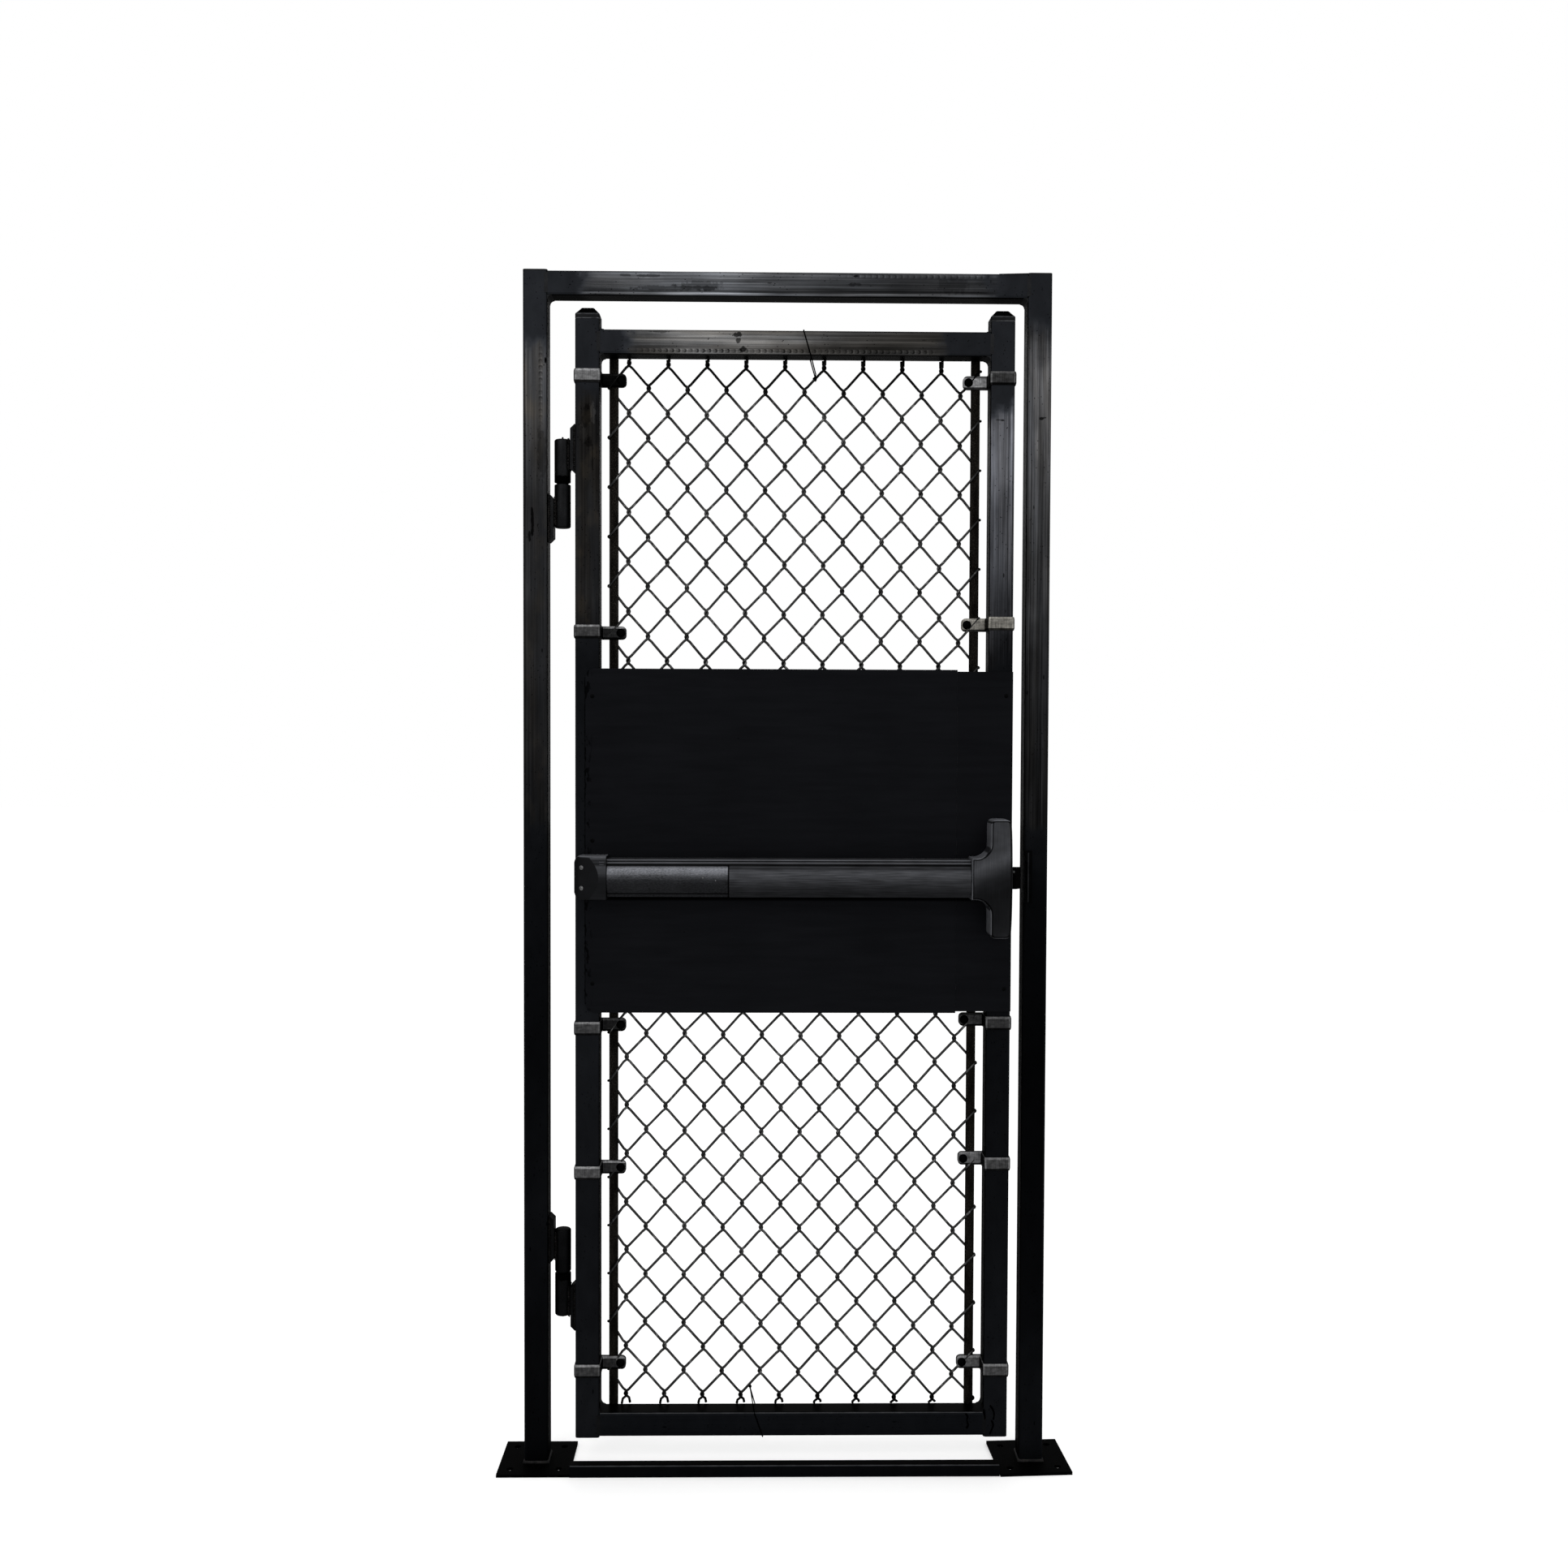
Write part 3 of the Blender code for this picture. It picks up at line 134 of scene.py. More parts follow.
class Graph:
    """The node tree of one material, built with short typed calls."""

    def __init__(self, name: str) -> None:
        """Start a material of a name with one shader on it."""
        self.material = bpy.data.materials.new(name)
        self.material.use_nodes = True
        self.nodes = self.material.node_tree.nodes
        self.links = self.material.node_tree.links
        self.nodes.clear()
        self.shader = self.nodes.new("ShaderNodeBsdfPrincipled")
        output = self.nodes.new("ShaderNodeOutputMaterial")
        self.links.new(self.shader.outputs[0], output.inputs[0])
        coordinates = self.nodes.new("ShaderNodeTexCoord")
        self.place = coordinates.outputs["Object"]
        self.axes = self.split(self.place)
        self.facing = self.split(coordinates.outputs["Normal"])

    def split(self, vector: Socket) -> list[Socket]:
        """Return the three parts of a vector."""
        node = self.nodes.new("ShaderNodeSeparateXYZ")
        self.links.new(vector, node.inputs[0])
        return list(node.outputs)

    def put(self, socket: Socket, value: Value) -> None:
        """Link a socket to another one, or set its value."""
        if isinstance(value, bpy.types.NodeSocket):
            self.links.new(value, socket)
        else:
            socket.default_value = value

    def sum(self, operation: Op, first: Value, second: Value = 0.0) -> Socket:
        """Return one sum of two values."""
        node = self.nodes.new("ShaderNodeMath")
        node.operation = operation.value
        self.put(node.inputs[0], first)
        self.put(node.inputs[1], second)
        return node.outputs[0]

    def times(self, *values: Value) -> Value:
        """Return the product of several values."""
        product = values[0]
        for value in values[1:]:
            product = self.sum(Op.MULTIPLY, product, value)
        return product

    def plus(self, first: Value, second: Value) -> Socket:
        """Return the sum of two values."""
        return self.sum(Op.ADD, first, second)

    def less(self, first: Value, second: Value) -> Socket:
        """Return one value less another."""
        return self.sum(Op.SUBTRACT, first, second)

    def unsigned(self, value: Value) -> Socket:
        """Return a value without its sign."""
        return self.sum(Op.ABSOLUTE, value)

    def remap(self, value: Value, start: float, end: float, to_start: float = 0.0,
              to_end: float = 1.0, smooth: bool = True) -> Socket:
        """Carry one range over to another, and stop at its ends.

        Args:
            value: the value that is carried over.
            start: where the first range starts.
            end: where it ends.
            to_start: what the start becomes.
            to_end: what the end becomes.
            smooth: whether the change eases in and out.

        Returns:
            The socket of the new value.
        """
        node = self.nodes.new("ShaderNodeMapRange")
        node.interpolation_type = "SMOOTHSTEP" if smooth else "LINEAR"
        self.put(node.inputs["Value"], value)
        for name, number in (("From Min", start), ("From Max", end), ("To Min", to_start),
                             ("To Max", to_end)):
            node.inputs[name].default_value = number
        return node.outputs[0]

    def swing(self, noise: Value, low: float, high: float) -> Socket:
        """Carry the range that a noise keeps to over to another one."""
        return self.remap(noise, *NOISE_RANGE, low, high, False)

    def blend(self, share: Value, first: Value, second: Value) -> Socket:
        """Return a number between two numbers."""
        node = self.nodes.new("ShaderNodeMix")
        node.data_type = "FLOAT"
        self.put(node.inputs[0], share)
        self.put(node.inputs[2], first)
        self.put(node.inputs[3], second)
        return node.outputs[0]

    def tint(self, share: Value, first: Colour, second: Colour) -> Socket:
        """Return a colour between two set colours."""
        return self.mixed(share, (*first, 1.0), second)

    def mixed(self, share: Value, first: Union[Socket, tuple], second: Colour) -> Socket:
        """Return a colour between a colour, set or linked, and a set one."""
        node = self.nodes.new("ShaderNodeMix")
        node.data_type = "RGBA"
        self.put(node.inputs[0], share)
        self.put(node.inputs[6], first)
        node.inputs[7].default_value = (*second, 1.0)
        return node.outputs[2]

    def lit(self, colour: Union[Colour, Socket], level: Value) -> Socket:
        """Return a colour made lighter or darker by a level."""
        node = self.nodes.new("ShaderNodeVectorMath")
        node.operation = "SCALE"
        self.put(node.inputs[0], colour)
        self.put(node.inputs["Scale"], level)
        return node.outputs[0]

    def grain(self, size: Size, detail: float = 2.0, shift: float = 0.0) -> Socket:
        """Return a noise from 0 to 1.

        Args:
            size: how large its features are, all ways or along each axis.
            detail: how many finer noises it holds.
            shift: moves the pattern, so that two noises differ.

        Returns:
            The socket of the noise.
        """
        node = self.nodes.new("ShaderNodeTexNoise")
        self.links.new(self.stretched(size, shift), node.inputs["Vector"])
        node.inputs["Scale"].default_value = 1.0
        node.inputs["Detail"].default_value = detail
        return node.outputs[0]

    def stretched(self, size: Size, shift: float) -> Socket:
        """Return the place on the piece, counted in features of a size."""
        sizes = (size,) * 3 if isinstance(size, float) else size
        mapping = self.nodes.new("ShaderNodeMapping")
        self.links.new(self.place, mapping.inputs["Vector"])
        mapping.inputs["Scale"].default_value = tuple(1.0 / part for part in sizes)
        mapping.inputs["Location"].default_value = (shift, shift * 0.7, shift * 1.3)
        return mapping.outputs[0]

    def cells(self, size: Size, shift: float = 0.0) -> Socket:
        """Return the distance to the nearest of many scattered points, in cells of a size."""
        node = self.nodes.new("ShaderNodeTexVoronoi")
        self.links.new(self.stretched(size, shift), node.inputs["Vector"])
        node.inputs["Scale"].default_value = 1.0
        return node.outputs["Distance"]

    def levels(self, value: Socket, zones: Sequence["Zone"]) -> Socket:
        """Return the brightness that a row of zones gives along a value.

        Args:
            value: the place along the piece.
            zones: the places and their brightness, in order.

        Returns:
            The socket of the brightness.
        """
        low, high = zones[0].place, zones[-1].place
        node = self.nodes.new("ShaderNodeValToRGB")
        self.links.new(self.remap(value, low, high, smooth=False), node.inputs[0])
        stops = node.color_ramp.elements
        while len(stops) < len(zones):
            stops.new(0.5)
        for stop, zone in zip(stops, zones):
            stop.position = (zone.place - low) / (high - low)
        for stop, zone in zip(stops, zones):
            stop.color = (zone.level, zone.level, zone.level, 1.0)
        return node.outputs[0]

    def finish(self, colour: Value, roughness: Value, metallic: float, specular: float,
               rim: float = 1.0) -> None:
        """Set the shader; its rim is how light metal reflects at a low angle."""
        self.put(self.shader.inputs["Base Color"], colour)
        self.put(self.shader.inputs["Roughness"], roughness)
        self.shader.inputs["Metallic"].default_value = metallic
        self.shader.inputs["Specular IOR Level"].default_value = specular
        self.shader.inputs["Specular Tint"].default_value = (rim, rim, rim, 1.0)

    def relief(self, height: Socket, depth: float) -> None:
        """Raise the surface by a height from 0 to 1 times a depth."""
        node = self.nodes.new("ShaderNodeBump")
        node.inputs["Strength"].default_value = 1.0
        node.inputs["Distance"].default_value = depth
        self.links.new(height, node.inputs["Height"])
        self.links.new(node.outputs[0], self.shader.inputs["Normal"])


@dataclass(frozen=True)
class Zone:
    """One place along a tube or coat, and its brightness there, painted light and shade included.
    """

    place: float
    level: float


@dataclass(frozen=True)
class SeamMarks:
    """The row of small scallops that the tube mill's rollers left along a face.

    The row lies at one height, or for an upright tube at one distance from the hinge post.
    """

    start: float
    end: float
    height: float
    pitch: float = 12.8 * MM
    reach: float = 5.0 * MM
    depth: float = 0.45
    upright: bool = False


@dataclass(frozen=True)
class Finish:
    """A finish with a name, which makes one material."""

    name: str

    def paint(self, graph: Graph) -> None:
        """Build the nodes of the finish."""
        raise NotImplementedError

    def make(self) -> bpy.types.Material:
        """Return the material of the finish."""
        graph = Graph(self.name)
        self.paint(graph)
        return graph.material


@dataclass(frozen=True)
class Stain:
    """A stain on a tube: its middle and half sizes along X and Z, and how dark it is, or how
    light where that is below 0."""

    x: float
    z: float
    half_x: float
    half_z: float
    depth: float


@dataclass(frozen=True)
class TubeSteel(Finish):
    """Square tube: plain paint over the welded corners, streaked mill scale between them.

    The streaks across the tube and the brightness along it are given as zones. The brightness
    along it holds the paint and bare zones and also painted shade: the uprights are painted
    darker towards the bottom, as the light falls off. A slant tilts the ends of the paint against
    the tube. Faces that turn away from the gate's middle have an even level of their own; faces
    that turn up, down or inwards are painted dark at the side shade level, as painted shade.
    """

    zones: tuple[Zone, ...] = ()
    along: Axis = Axis.Z
    across: tuple[Zone, ...] = ()
    centre: float = 0.0
    slant: float = 0.0
    bare: tuple[float, float] = (-1.0, 9.0)
    streaks: float = 1.0
    warmth: float = 0.3
    tone: Colour = (0.97, 1.0, 1.08)
    side_shade_level: float = 0.03
    outer: float = 0.0125
    smudges: float = 0.0
    roller_share: float = 0.62
    marks: tuple[SeamMarks, ...] = ()
    stains: tuple[Stain, ...] = ()
    shift: float = 0.0

    def stained(self, graph: Graph, stain: Stain) -> Socket:
        """Return how far a ragged stain covers the steel, from 0 to 1."""
        reach = []
        for axis, middle, half in ((0, stain.x, stain.half_x), (2, stain.z, stain.half_z)):
            away = graph.times(graph.less(graph.axes[axis], middle), 1.0 / half)
            reach.append(graph.times(away, away))
        ragged = graph.swing(graph.grain((0.008, 0.008, 0.012), 3.0, 71.0), -0.4, 0.4)
        away = graph.plus(graph.sum(Op.ROOT, graph.plus(*reach)), ragged)
        return graph.remap(away, 1.1, 0.75, 0.0, stain.depth)

    def sized(self, along: float, across: float) -> Point:
        """Return a feature size that is long along the tube."""
        return tuple(along if axis is self.along else across for axis in Axis)

    def scallops(self, graph: Graph, marks: SeamMarks) -> Socket:
        """Return how much a row of roller marks lightens or darkens the steel.

        Args:
            graph: the nodes of the finish.
            marks: the row of marks.

        Returns:
            The socket of a factor about 1.
        """
        place, across = graph.axes[0], graph.axes[2]
        if marks.upright:
            place, across = across, place
        step = graph.sum(Op.FRACTION, graph.times(place, 1.0 / marks.pitch))
        run = graph.times(step, marks.pitch)
        rise = graph.less(across, marks.height)
        squared = graph.plus(graph.times(run, run), graph.times(rise, rise))
        reach = graph.sum(Op.ROOT, squared)
        rim = marks.pitch * self.roller_share
        light = graph.times(graph.remap(reach, rim - 1.6 * MM, rim - 0.4 * MM),
                            graph.remap(reach, rim + 2.4 * MM, rim + 1.2 * MM))
        dark = graph.times(graph.remap(reach, rim - 5.6 * MM, rim - 4.4 * MM),
                           graph.remap(reach, rim - 1.2 * MM, rim - 2.4 * MM))
        band = graph.times(graph.remap(graph.unsigned(rise), marks.reach, marks.reach * 0.7),
                           graph.remap(place, marks.start, marks.start + 0.06),
                           graph.remap(place, marks.end, marks.end - 0.05),
                           graph.remap(graph.grain(0.02, 1.0, 4.1), 0.3, 0.6, 0.35, 1.0))
        ripple = graph.less(light, graph.times(dark, 1.1))
        return graph.plus(graph.times(ripple, band, marks.depth), 1.0)

    def streaked(self, graph: Graph, away: Socket, fine: Socket) -> Socket:
        """Return how bright the streaks of the bare steel are.

        Args:
            graph: the nodes of the finish.
            away: how far a place is from the middle of the tube.
            fine: the finest of the streaks.

        Returns:
            The socket of a factor about 1.
        """
        shift = self.shift
        broad = graph.remap(graph.grain(self.sized(0.5, 0.0055), 1.0, 11.0 + shift), 0.33,
                            0.67, 0.68, 1.34, False)
        line = graph.remap(graph.grain(self.sized(0.9, 0.0026), 1.0, 23.0 + shift), 0.62, 0.7,
                           0.0, 0.4)
        blotch = graph.swing(graph.grain(self.sized(0.1, 0.03), 4.0, 8.0 + shift), 0.66, 1.3)
        streaked = graph.plus(graph.times(broad, fine, blotch), line)
        if not self.across:
            return streaked
        sway = graph.swing(graph.grain(self.sized(0.2, 0.02), 2.0, 61.0 + shift), -0.0012, 0.0012)
        profile = graph.levels(graph.plus(away, sway), self.across)
        return graph.times(streaked, profile, PROFILE_TOP)

    def hurt(self, graph: Graph) -> Socket:
        """Return how far pits and scars take the steel's brightness, from 0 to 1."""
        shift = self.shift
        pit = graph.remap(graph.cells(self.sized(0.009, 0.0065), 3.0 + shift), 0.2, 0.1)
        pitted = graph.remap(graph.grain(0.05, 2.0, 31.0 + shift), 0.46, 0.54)
        scar = graph.remap(graph.cells(self.sized(0.05, 0.016), 9.0 + shift), 0.13, 0.07)
        scarred = graph.remap(graph.grain(0.12, 1.0, 17.0 + shift), 0.56, 0.64)
        return graph.sum(Op.MAXIMUM, graph.times(pit, pitted), graph.times(scar, scarred))

    def paint(self, graph: Graph) -> None:
        """Build the nodes of the finish."""
        shift = self.shift
        sideways = Axis.Z if self.along is Axis.X else Axis.X
        away = graph.less(graph.axes[sideways.value], self.centre)
        along = graph.less(graph.axes[self.along.value], graph.times(away, self.slant))
        ragged = graph.remap(graph.grain(0.03, 3.0, 2.0 + shift), 0.2, 0.8, -0.02, 0.02, False)
        place = graph.plus(along, ragged)
        # Painted shade: besides the paint and bare zones, the zones make the uprights darker
        # towards the bottom
        level = graph.levels(place, self.zones)
        bare = graph.times(graph.remap(place, self.bare[0] - 0.015, self.bare[0] + 0.02),
                           graph.remap(place, self.bare[1] + 0.015, self.bare[1] - 0.02))
        fine = graph.remap(graph.grain(self.sized(0.14, 0.0014), 2.0, 5.0 + shift), 0.33, 0.67,
                           0.7, 1.32, False)
        mottled = graph.remap(graph.grain((0.03, 0.03, 0.05), 4.0, 1.0 + shift), 0.25, 0.75,
                              0.82, 1.18, False)
        factor = graph.blend(graph.times(bare, self.streaks), mottled,
                             self.streaked(graph, away, fine))
        hurt = self.hurt(graph)
        spared = graph.remap(graph.times(hurt, 0.8), 0.0, 1.0, 1.0, 0.0, False)
        factor = graph.times(factor, spared)
        for marks in self.marks:
            factor = graph.times(factor, self.scallops(graph, marks))
        for stain in self.stains:
            covered = self.stained(graph, stain)
            factor = graph.times(factor, graph.less(1.0, covered))
        # Painted shade: faces that turn up, down or sideways keep only the side shade level of the
        # brightness
        flat = graph.remap(graph.unsigned(graph.facing[1]), 0.3, 0.6, self.side_shade_level, 1.0)
        smudge = graph.remap(graph.grain((0.03, 0.03, 0.06), 3.0, 41.0 + shift), 0.5, 0.68,
                             0.0, self.smudges)
        smudge = graph.times(bare, smudge)
        warm = graph.remap(graph.grain(self.sized(0.3, 0.03), 2.0, 14.0 + shift), 0.35, 0.7,
                           0.0, self.warmth)
        warm = graph.times(bare, warm)
        cool = graph.tint(bare, (0.92, 1.0, 1.17), self.tone)
        colour = graph.mixed(graph.plus(warm, smudge), cool, (1.2, 1.0, 0.74))
        outward = graph.times(graph.facing[sideways.value],
                              1.0 if self.centre > MIDDLE else -1.0)
        outer = graph.remap(outward, 0.3, 0.6)
        lifted = graph.plus(graph.times(level, factor), graph.times(smudge, 0.012))
        roughness = graph.blend(bare, 0.55, graph.remap(fine, 0.6, 1.4, 0.46, 0.34, False))
        shown = graph.blend(outer, graph.times(lifted, flat), graph.times(mottled, self.outer))
        graph.finish(graph.lit(colour, shown), roughness, 0.85, 0.06, 0.12)
        height = graph.less(graph.times(fine, 0.4), hurt)
        graph.relief(height, 0.25 * MM)


@dataclass(frozen=True)
class PaintedSteel(Finish):
    """Black satin paint on plates, caps, barrels and the strike."""

    level: float = 0.012
    wear: float = 0.0
    roughness: float = 0.5
    grain: float = 3.0 * MM
    specular: float = 0.08

    def shade(self, graph: Graph) -> Value:
        """Return how much lighter or darker the paint is at a place."""
        return 1.0

    def paint(self, graph: Graph) -> None:
        """Build the nodes of the finish."""
        cloud = graph.remap(graph.grain(0.03, 4.0, 6.0), 0.25, 0.75, 0.7, 1.3, False)
        speck = graph.grain(self.grain, 3.0, 2.0)
        rubbed = graph.remap(graph.grain((0.012, 0.012, 0.006), 3.0, 12.0), 0.52, 0.66)
        rubbed = graph.times(rubbed, self.wear)
        up = graph.remap(graph.facing[2], 0.35, 0.85, 0.0, self.wear)
        level = graph.plus(graph.times(cloud, self.level),
                           graph.times(graph.plus(rubbed, up), 0.05))
        flecked = graph.times(level, graph.swing(speck, 0.8, 1.2), self.shade(graph))
        graph.finish(graph.lit((0.97, 1.0, 1.07), flecked),
                     graph.swing(speck, self.roughness - 0.06, self.roughness + 0.08), 0.85,
                     self.specular, 0.1)
        graph.relief(speck, 0.12 * MM)


@dataclass(frozen=True)
class BarrelPaint(PaintedSteel):
    """Paint of a hinge barrel, black with grease on one side of the joint."""

    joint: float = 0.0
    reach: float = 13.0 * MM

    def shade(self, graph: Graph) -> Value:
        """Return how much of the paint the grease leaves."""
        rise = graph.less(graph.axes[2], self.joint)
        ragged = graph.swing(graph.grain((0.006, 0.006, 0.004), 3.0, 5.0), -2.5 * MM, 2.5 * MM)
        away = graph.plus(graph.unsigned(rise), ragged)
        return graph.remap(away, self.reach - 1.0 * MM, self.reach + 1.0 * MM, 0.06, 1.0)


@dataclass(frozen=True)
class CapPaint(PaintedSteel):
    """Paint of a stile cap, worn along the lower and the upper edge of its flange."""

    seat: float = 0.0
    flange: float = 11.0 * MM

    def shade(self, graph: Graph) -> Value:
        """Return how much lighter the worn edges are."""
        rise = graph.less(graph.axes[2], self.seat)
        low = graph.remap(rise, 2.6 * MM, 1.8 * MM, 0.0, 5.0)
        high = graph.times(graph.remap(rise, self.flange - 2.8 * MM, self.flange - 1.6 * MM,
                                       0.0, 2.6),
                           graph.remap(rise, self.flange + 1.2 * MM, self.flange + 0.4 * MM))
        dome = graph.remap(rise, self.flange + 0.2 * MM, self.flange + 1.5 * MM, 0.0, -0.7)
        worn = graph.remap(graph.grain((0.01, 0.01, 0.004), 3.0, 5.0), 0.35, 0.55, 0.35, 1.2)
        edges = graph.times(graph.plus(low, high), worn)
        return graph.plus(graph.plus(edges, dome), 1.0)


@dataclass(frozen=True)
class WeldMetal(Finish):
    """Painted weld beads, with the ripples of the run."""

    level: float = 0.016
    pitch: float = 2.6 * MM

    def paint(self, graph: Graph) -> None:
        """Build the nodes of the finish."""
        lump = graph.grain(self.pitch, 2.0, 3.0)
        burnt = graph.grain(0.018, 3.0, 8.0)
        level = graph.times(graph.swing(lump, 0.45, 1.7), graph.swing(burnt, 0.6, 1.5), self.level)
        graph.finish(graph.lit(graph.tint(burnt, (0.9, 0.95, 1.1), (1.15, 1.0, 0.85)), level),
                     graph.swing(lump, 0.32, 0.55), 0.7, 0.15, 0.5)
        graph.relief(lump, 0.5 * MM)


@dataclass(frozen=True)
class SheetPaint(Finish):
    """Matte black paint on the sheets behind the exit device."""

    level: float = 0.0058
    shade_top: float = 1.25
    shade_bottom: float = 1.1965

    def paint(self, graph: Graph) -> None:
        """Build the nodes of the finish."""
        cloud = graph.swing(graph.grain(0.16, 4.0, 3.0), 0.86, 1.14)
        # Painted shadow: the sheet is darker in a band under the exit device, where the bar shades
        # it
        height = graph.axes[2]
        bottom = self.shade_bottom
        shade = graph.times(graph.remap(height, bottom, bottom + 8.0 * MM),
                            graph.remap(height, self.shade_top + 1.0 * MM, self.shade_top),
                            graph.remap(graph.facing[1], -0.3, -0.6))
        brushed = graph.swing(graph.grain((0.12, 0.02, 0.012), 3.0, 7.0), 0.9, 1.12)
        nick = graph.remap(graph.cells((0.03, 0.03, 0.022), 5.0), 0.07, 0.03)
        nicked = graph.remap(graph.grain(0.09, 1.0, 19.0), 0.58, 0.68)
        edge = graph.remap(graph.axes[0], 0.125, 0.105)
        chipped = graph.remap(graph.grain((0.008, 0.01, 0.02), 3.0, 2.0), 0.55, 0.6)
        chipped = graph.times(edge, chipped)
        loss = graph.sum(Op.MAXIMUM, graph.times(nick, nicked), chipped)
        level = graph.times(cloud, brushed, self.level, graph.remap(loss, 0.0, 1.0, 1.0, 0.25),
                            graph.remap(shade, 0.0, 1.0, 1.0, 0.06))
        graph.finish(graph.lit((0.945, 0.99, 1.18), level),
                     graph.remap(cloud, 0.86, 1.14, 0.52, 0.66, False), 0.6, 0.04, 0.2)
        graph.relief(graph.grain(0.0016, 2.0, 1.0), 0.08 * MM)


@dataclass(frozen=True)
class StrapMetal(Finish):
    """Worn grey straps, with painted highlights on their upper bevel and their bends round the
    stile, and painted shade on faces that turn down or sideways towards the bar.
    """

    level: float = 0.13
    top_highlight_level: float = 0.2
    bend_highlight_level: float = 0.1
    ear_level: float = 0.05
    ear_top_highlight: float = 0.1
    tone: Colour = (1.0, 1.0, 1.0)
    shift: float = 0.0

    def paint(self, graph: Graph) -> None:
        """Build the nodes of the finish."""
        brushed = graph.swing(graph.grain((0.012, 0.012, 0.0022), 3.0, 4.0 + self.shift), 0.8, 1.2)
        ridges = graph.remap(graph.grain((0.0022, 0.02, 0.04), 1.0, 6.0 + self.shift), 0.35,
                             0.65, 0.84, 1.18, False)
        stain = graph.remap(graph.grain((0.008, 0.008, 0.006), 4.0, 9.0 + self.shift), 0.35,
                            0.65, 0.7, 1.2, False)
        scratch = graph.remap(graph.grain((0.0016, 0.012, 0.02), 2.0, 13.0 + self.shift), 0.63,
                              0.7, 1.0, 0.5)
        # Painted light: faces turned up take the painted highlight levels, the bends a painted
        # highlight, and faces turned down or sideways painted shade
        sideways = graph.unsigned(graph.facing[0])
        up = graph.remap(graph.facing[2], 0.1, 0.19)
        down = graph.remap(graph.facing[2], -0.1, -0.19, 1.0, 0.1)
        ear = graph.remap(graph.axes[1], -24.0 * MM, -19.0 * MM)
        end = graph.times(graph.remap(sideways, 0.1, 0.3), graph.remap(sideways, 0.8, 0.6))
        level = graph.blend(end, graph.blend(ear, self.level, self.ear_level),
                            graph.blend(ear, self.bend_highlight_level, self.ear_level))
        level = graph.blend(up, level, graph.blend(ear, self.top_highlight_level, self.ear_top_highlight))
        side = graph.remap(sideways, 0.6, 0.9, 1.0, 0.06)
        level = graph.times(level, brushed, ridges, stain, scratch, down, side)
        graph.finish(graph.lit(self.tone, level), graph.remap(stain, 0.6, 1.2, 0.55, 0.36, False),
                     0.85, 0.1, 0.12)
        graph.relief(graph.grain((0.003, 0.003, 0.0012), 3.0, 2.0 + self.shift), 0.15 * MM)


@dataclass(frozen=True)
class BarMetal(Finish):
    """Dark speckled flat bar."""

    level: float = 0.007

    def paint(self, graph: Graph) -> None:
        """Build the nodes of the finish."""
        speck = graph.grain((1.6 * MM, 1.6 * MM, 2.4 * MM), 3.0, 3.0)
        patch = graph.remap(graph.grain((0.012, 0.012, 0.05), 3.0, 7.0), 0.35, 0.65, 0.5, 1.4,
                            False)
        level = graph.times(patch, graph.remap(speck, 0.5, 0.68, 0.6, 3.4), self.level)
        graph.finish(graph.lit(graph.tint(speck, (1.05, 1.0, 0.9), (1.2, 1.0, 0.8)), level), 0.6,
                     0.7, 0.06, 0.2)
        graph.relief(speck, 0.3 * MM)


@dataclass(frozen=True)
class CoatedWire(Finish):
    """Black coated wire with scuffs where the pickets rub, and painted shade that darkens it near
    the rails.
    """

    level: float = 0.012
    scuff: float = 0.05

    def paint(self, graph: Graph) -> None:
        """Build the nodes of the finish."""
        cloud = graph.grain(0.025, 3.0, 2.0)
        scuffed = graph.remap(graph.grain((0.009, 0.009, 0.014), 3.0, 6.0), 0.55, 0.68, 0.0,
                              self.scuff)
        level = graph.plus(graph.times(graph.swing(cloud, 0.6, 1.5), self.level), scuffed)
        # Painted shade: the wire is darker near the top and the bottom rail
        ends = graph.times(graph.remap(graph.axes[2], 2.225, 2.285, 1.0, 0.15),
                           graph.remap(graph.axes[2], 0.125, 0.165, 0.12, 1.0))
        level = graph.times(level, ends)
        graph.finish(graph.lit((1.0, 1.0, 0.99), level), graph.swing(cloud, 0.36, 0.5), 0.9, 0.05,
                     0.05)
        graph.relief(graph.grain((0.0012, 0.0012, 0.004), 2.0, 4.0), 0.1 * MM)


@dataclass(frozen=True)
class PaintedRimLight:
    """Painted rim light: how bright a coat is painted on faces that turn left, right, up and down,
    as the light falls on them, and how dark the painted line between those and the front is."""

    left: float
    right: float
    up: float
    down: float
    line: float = 0.35


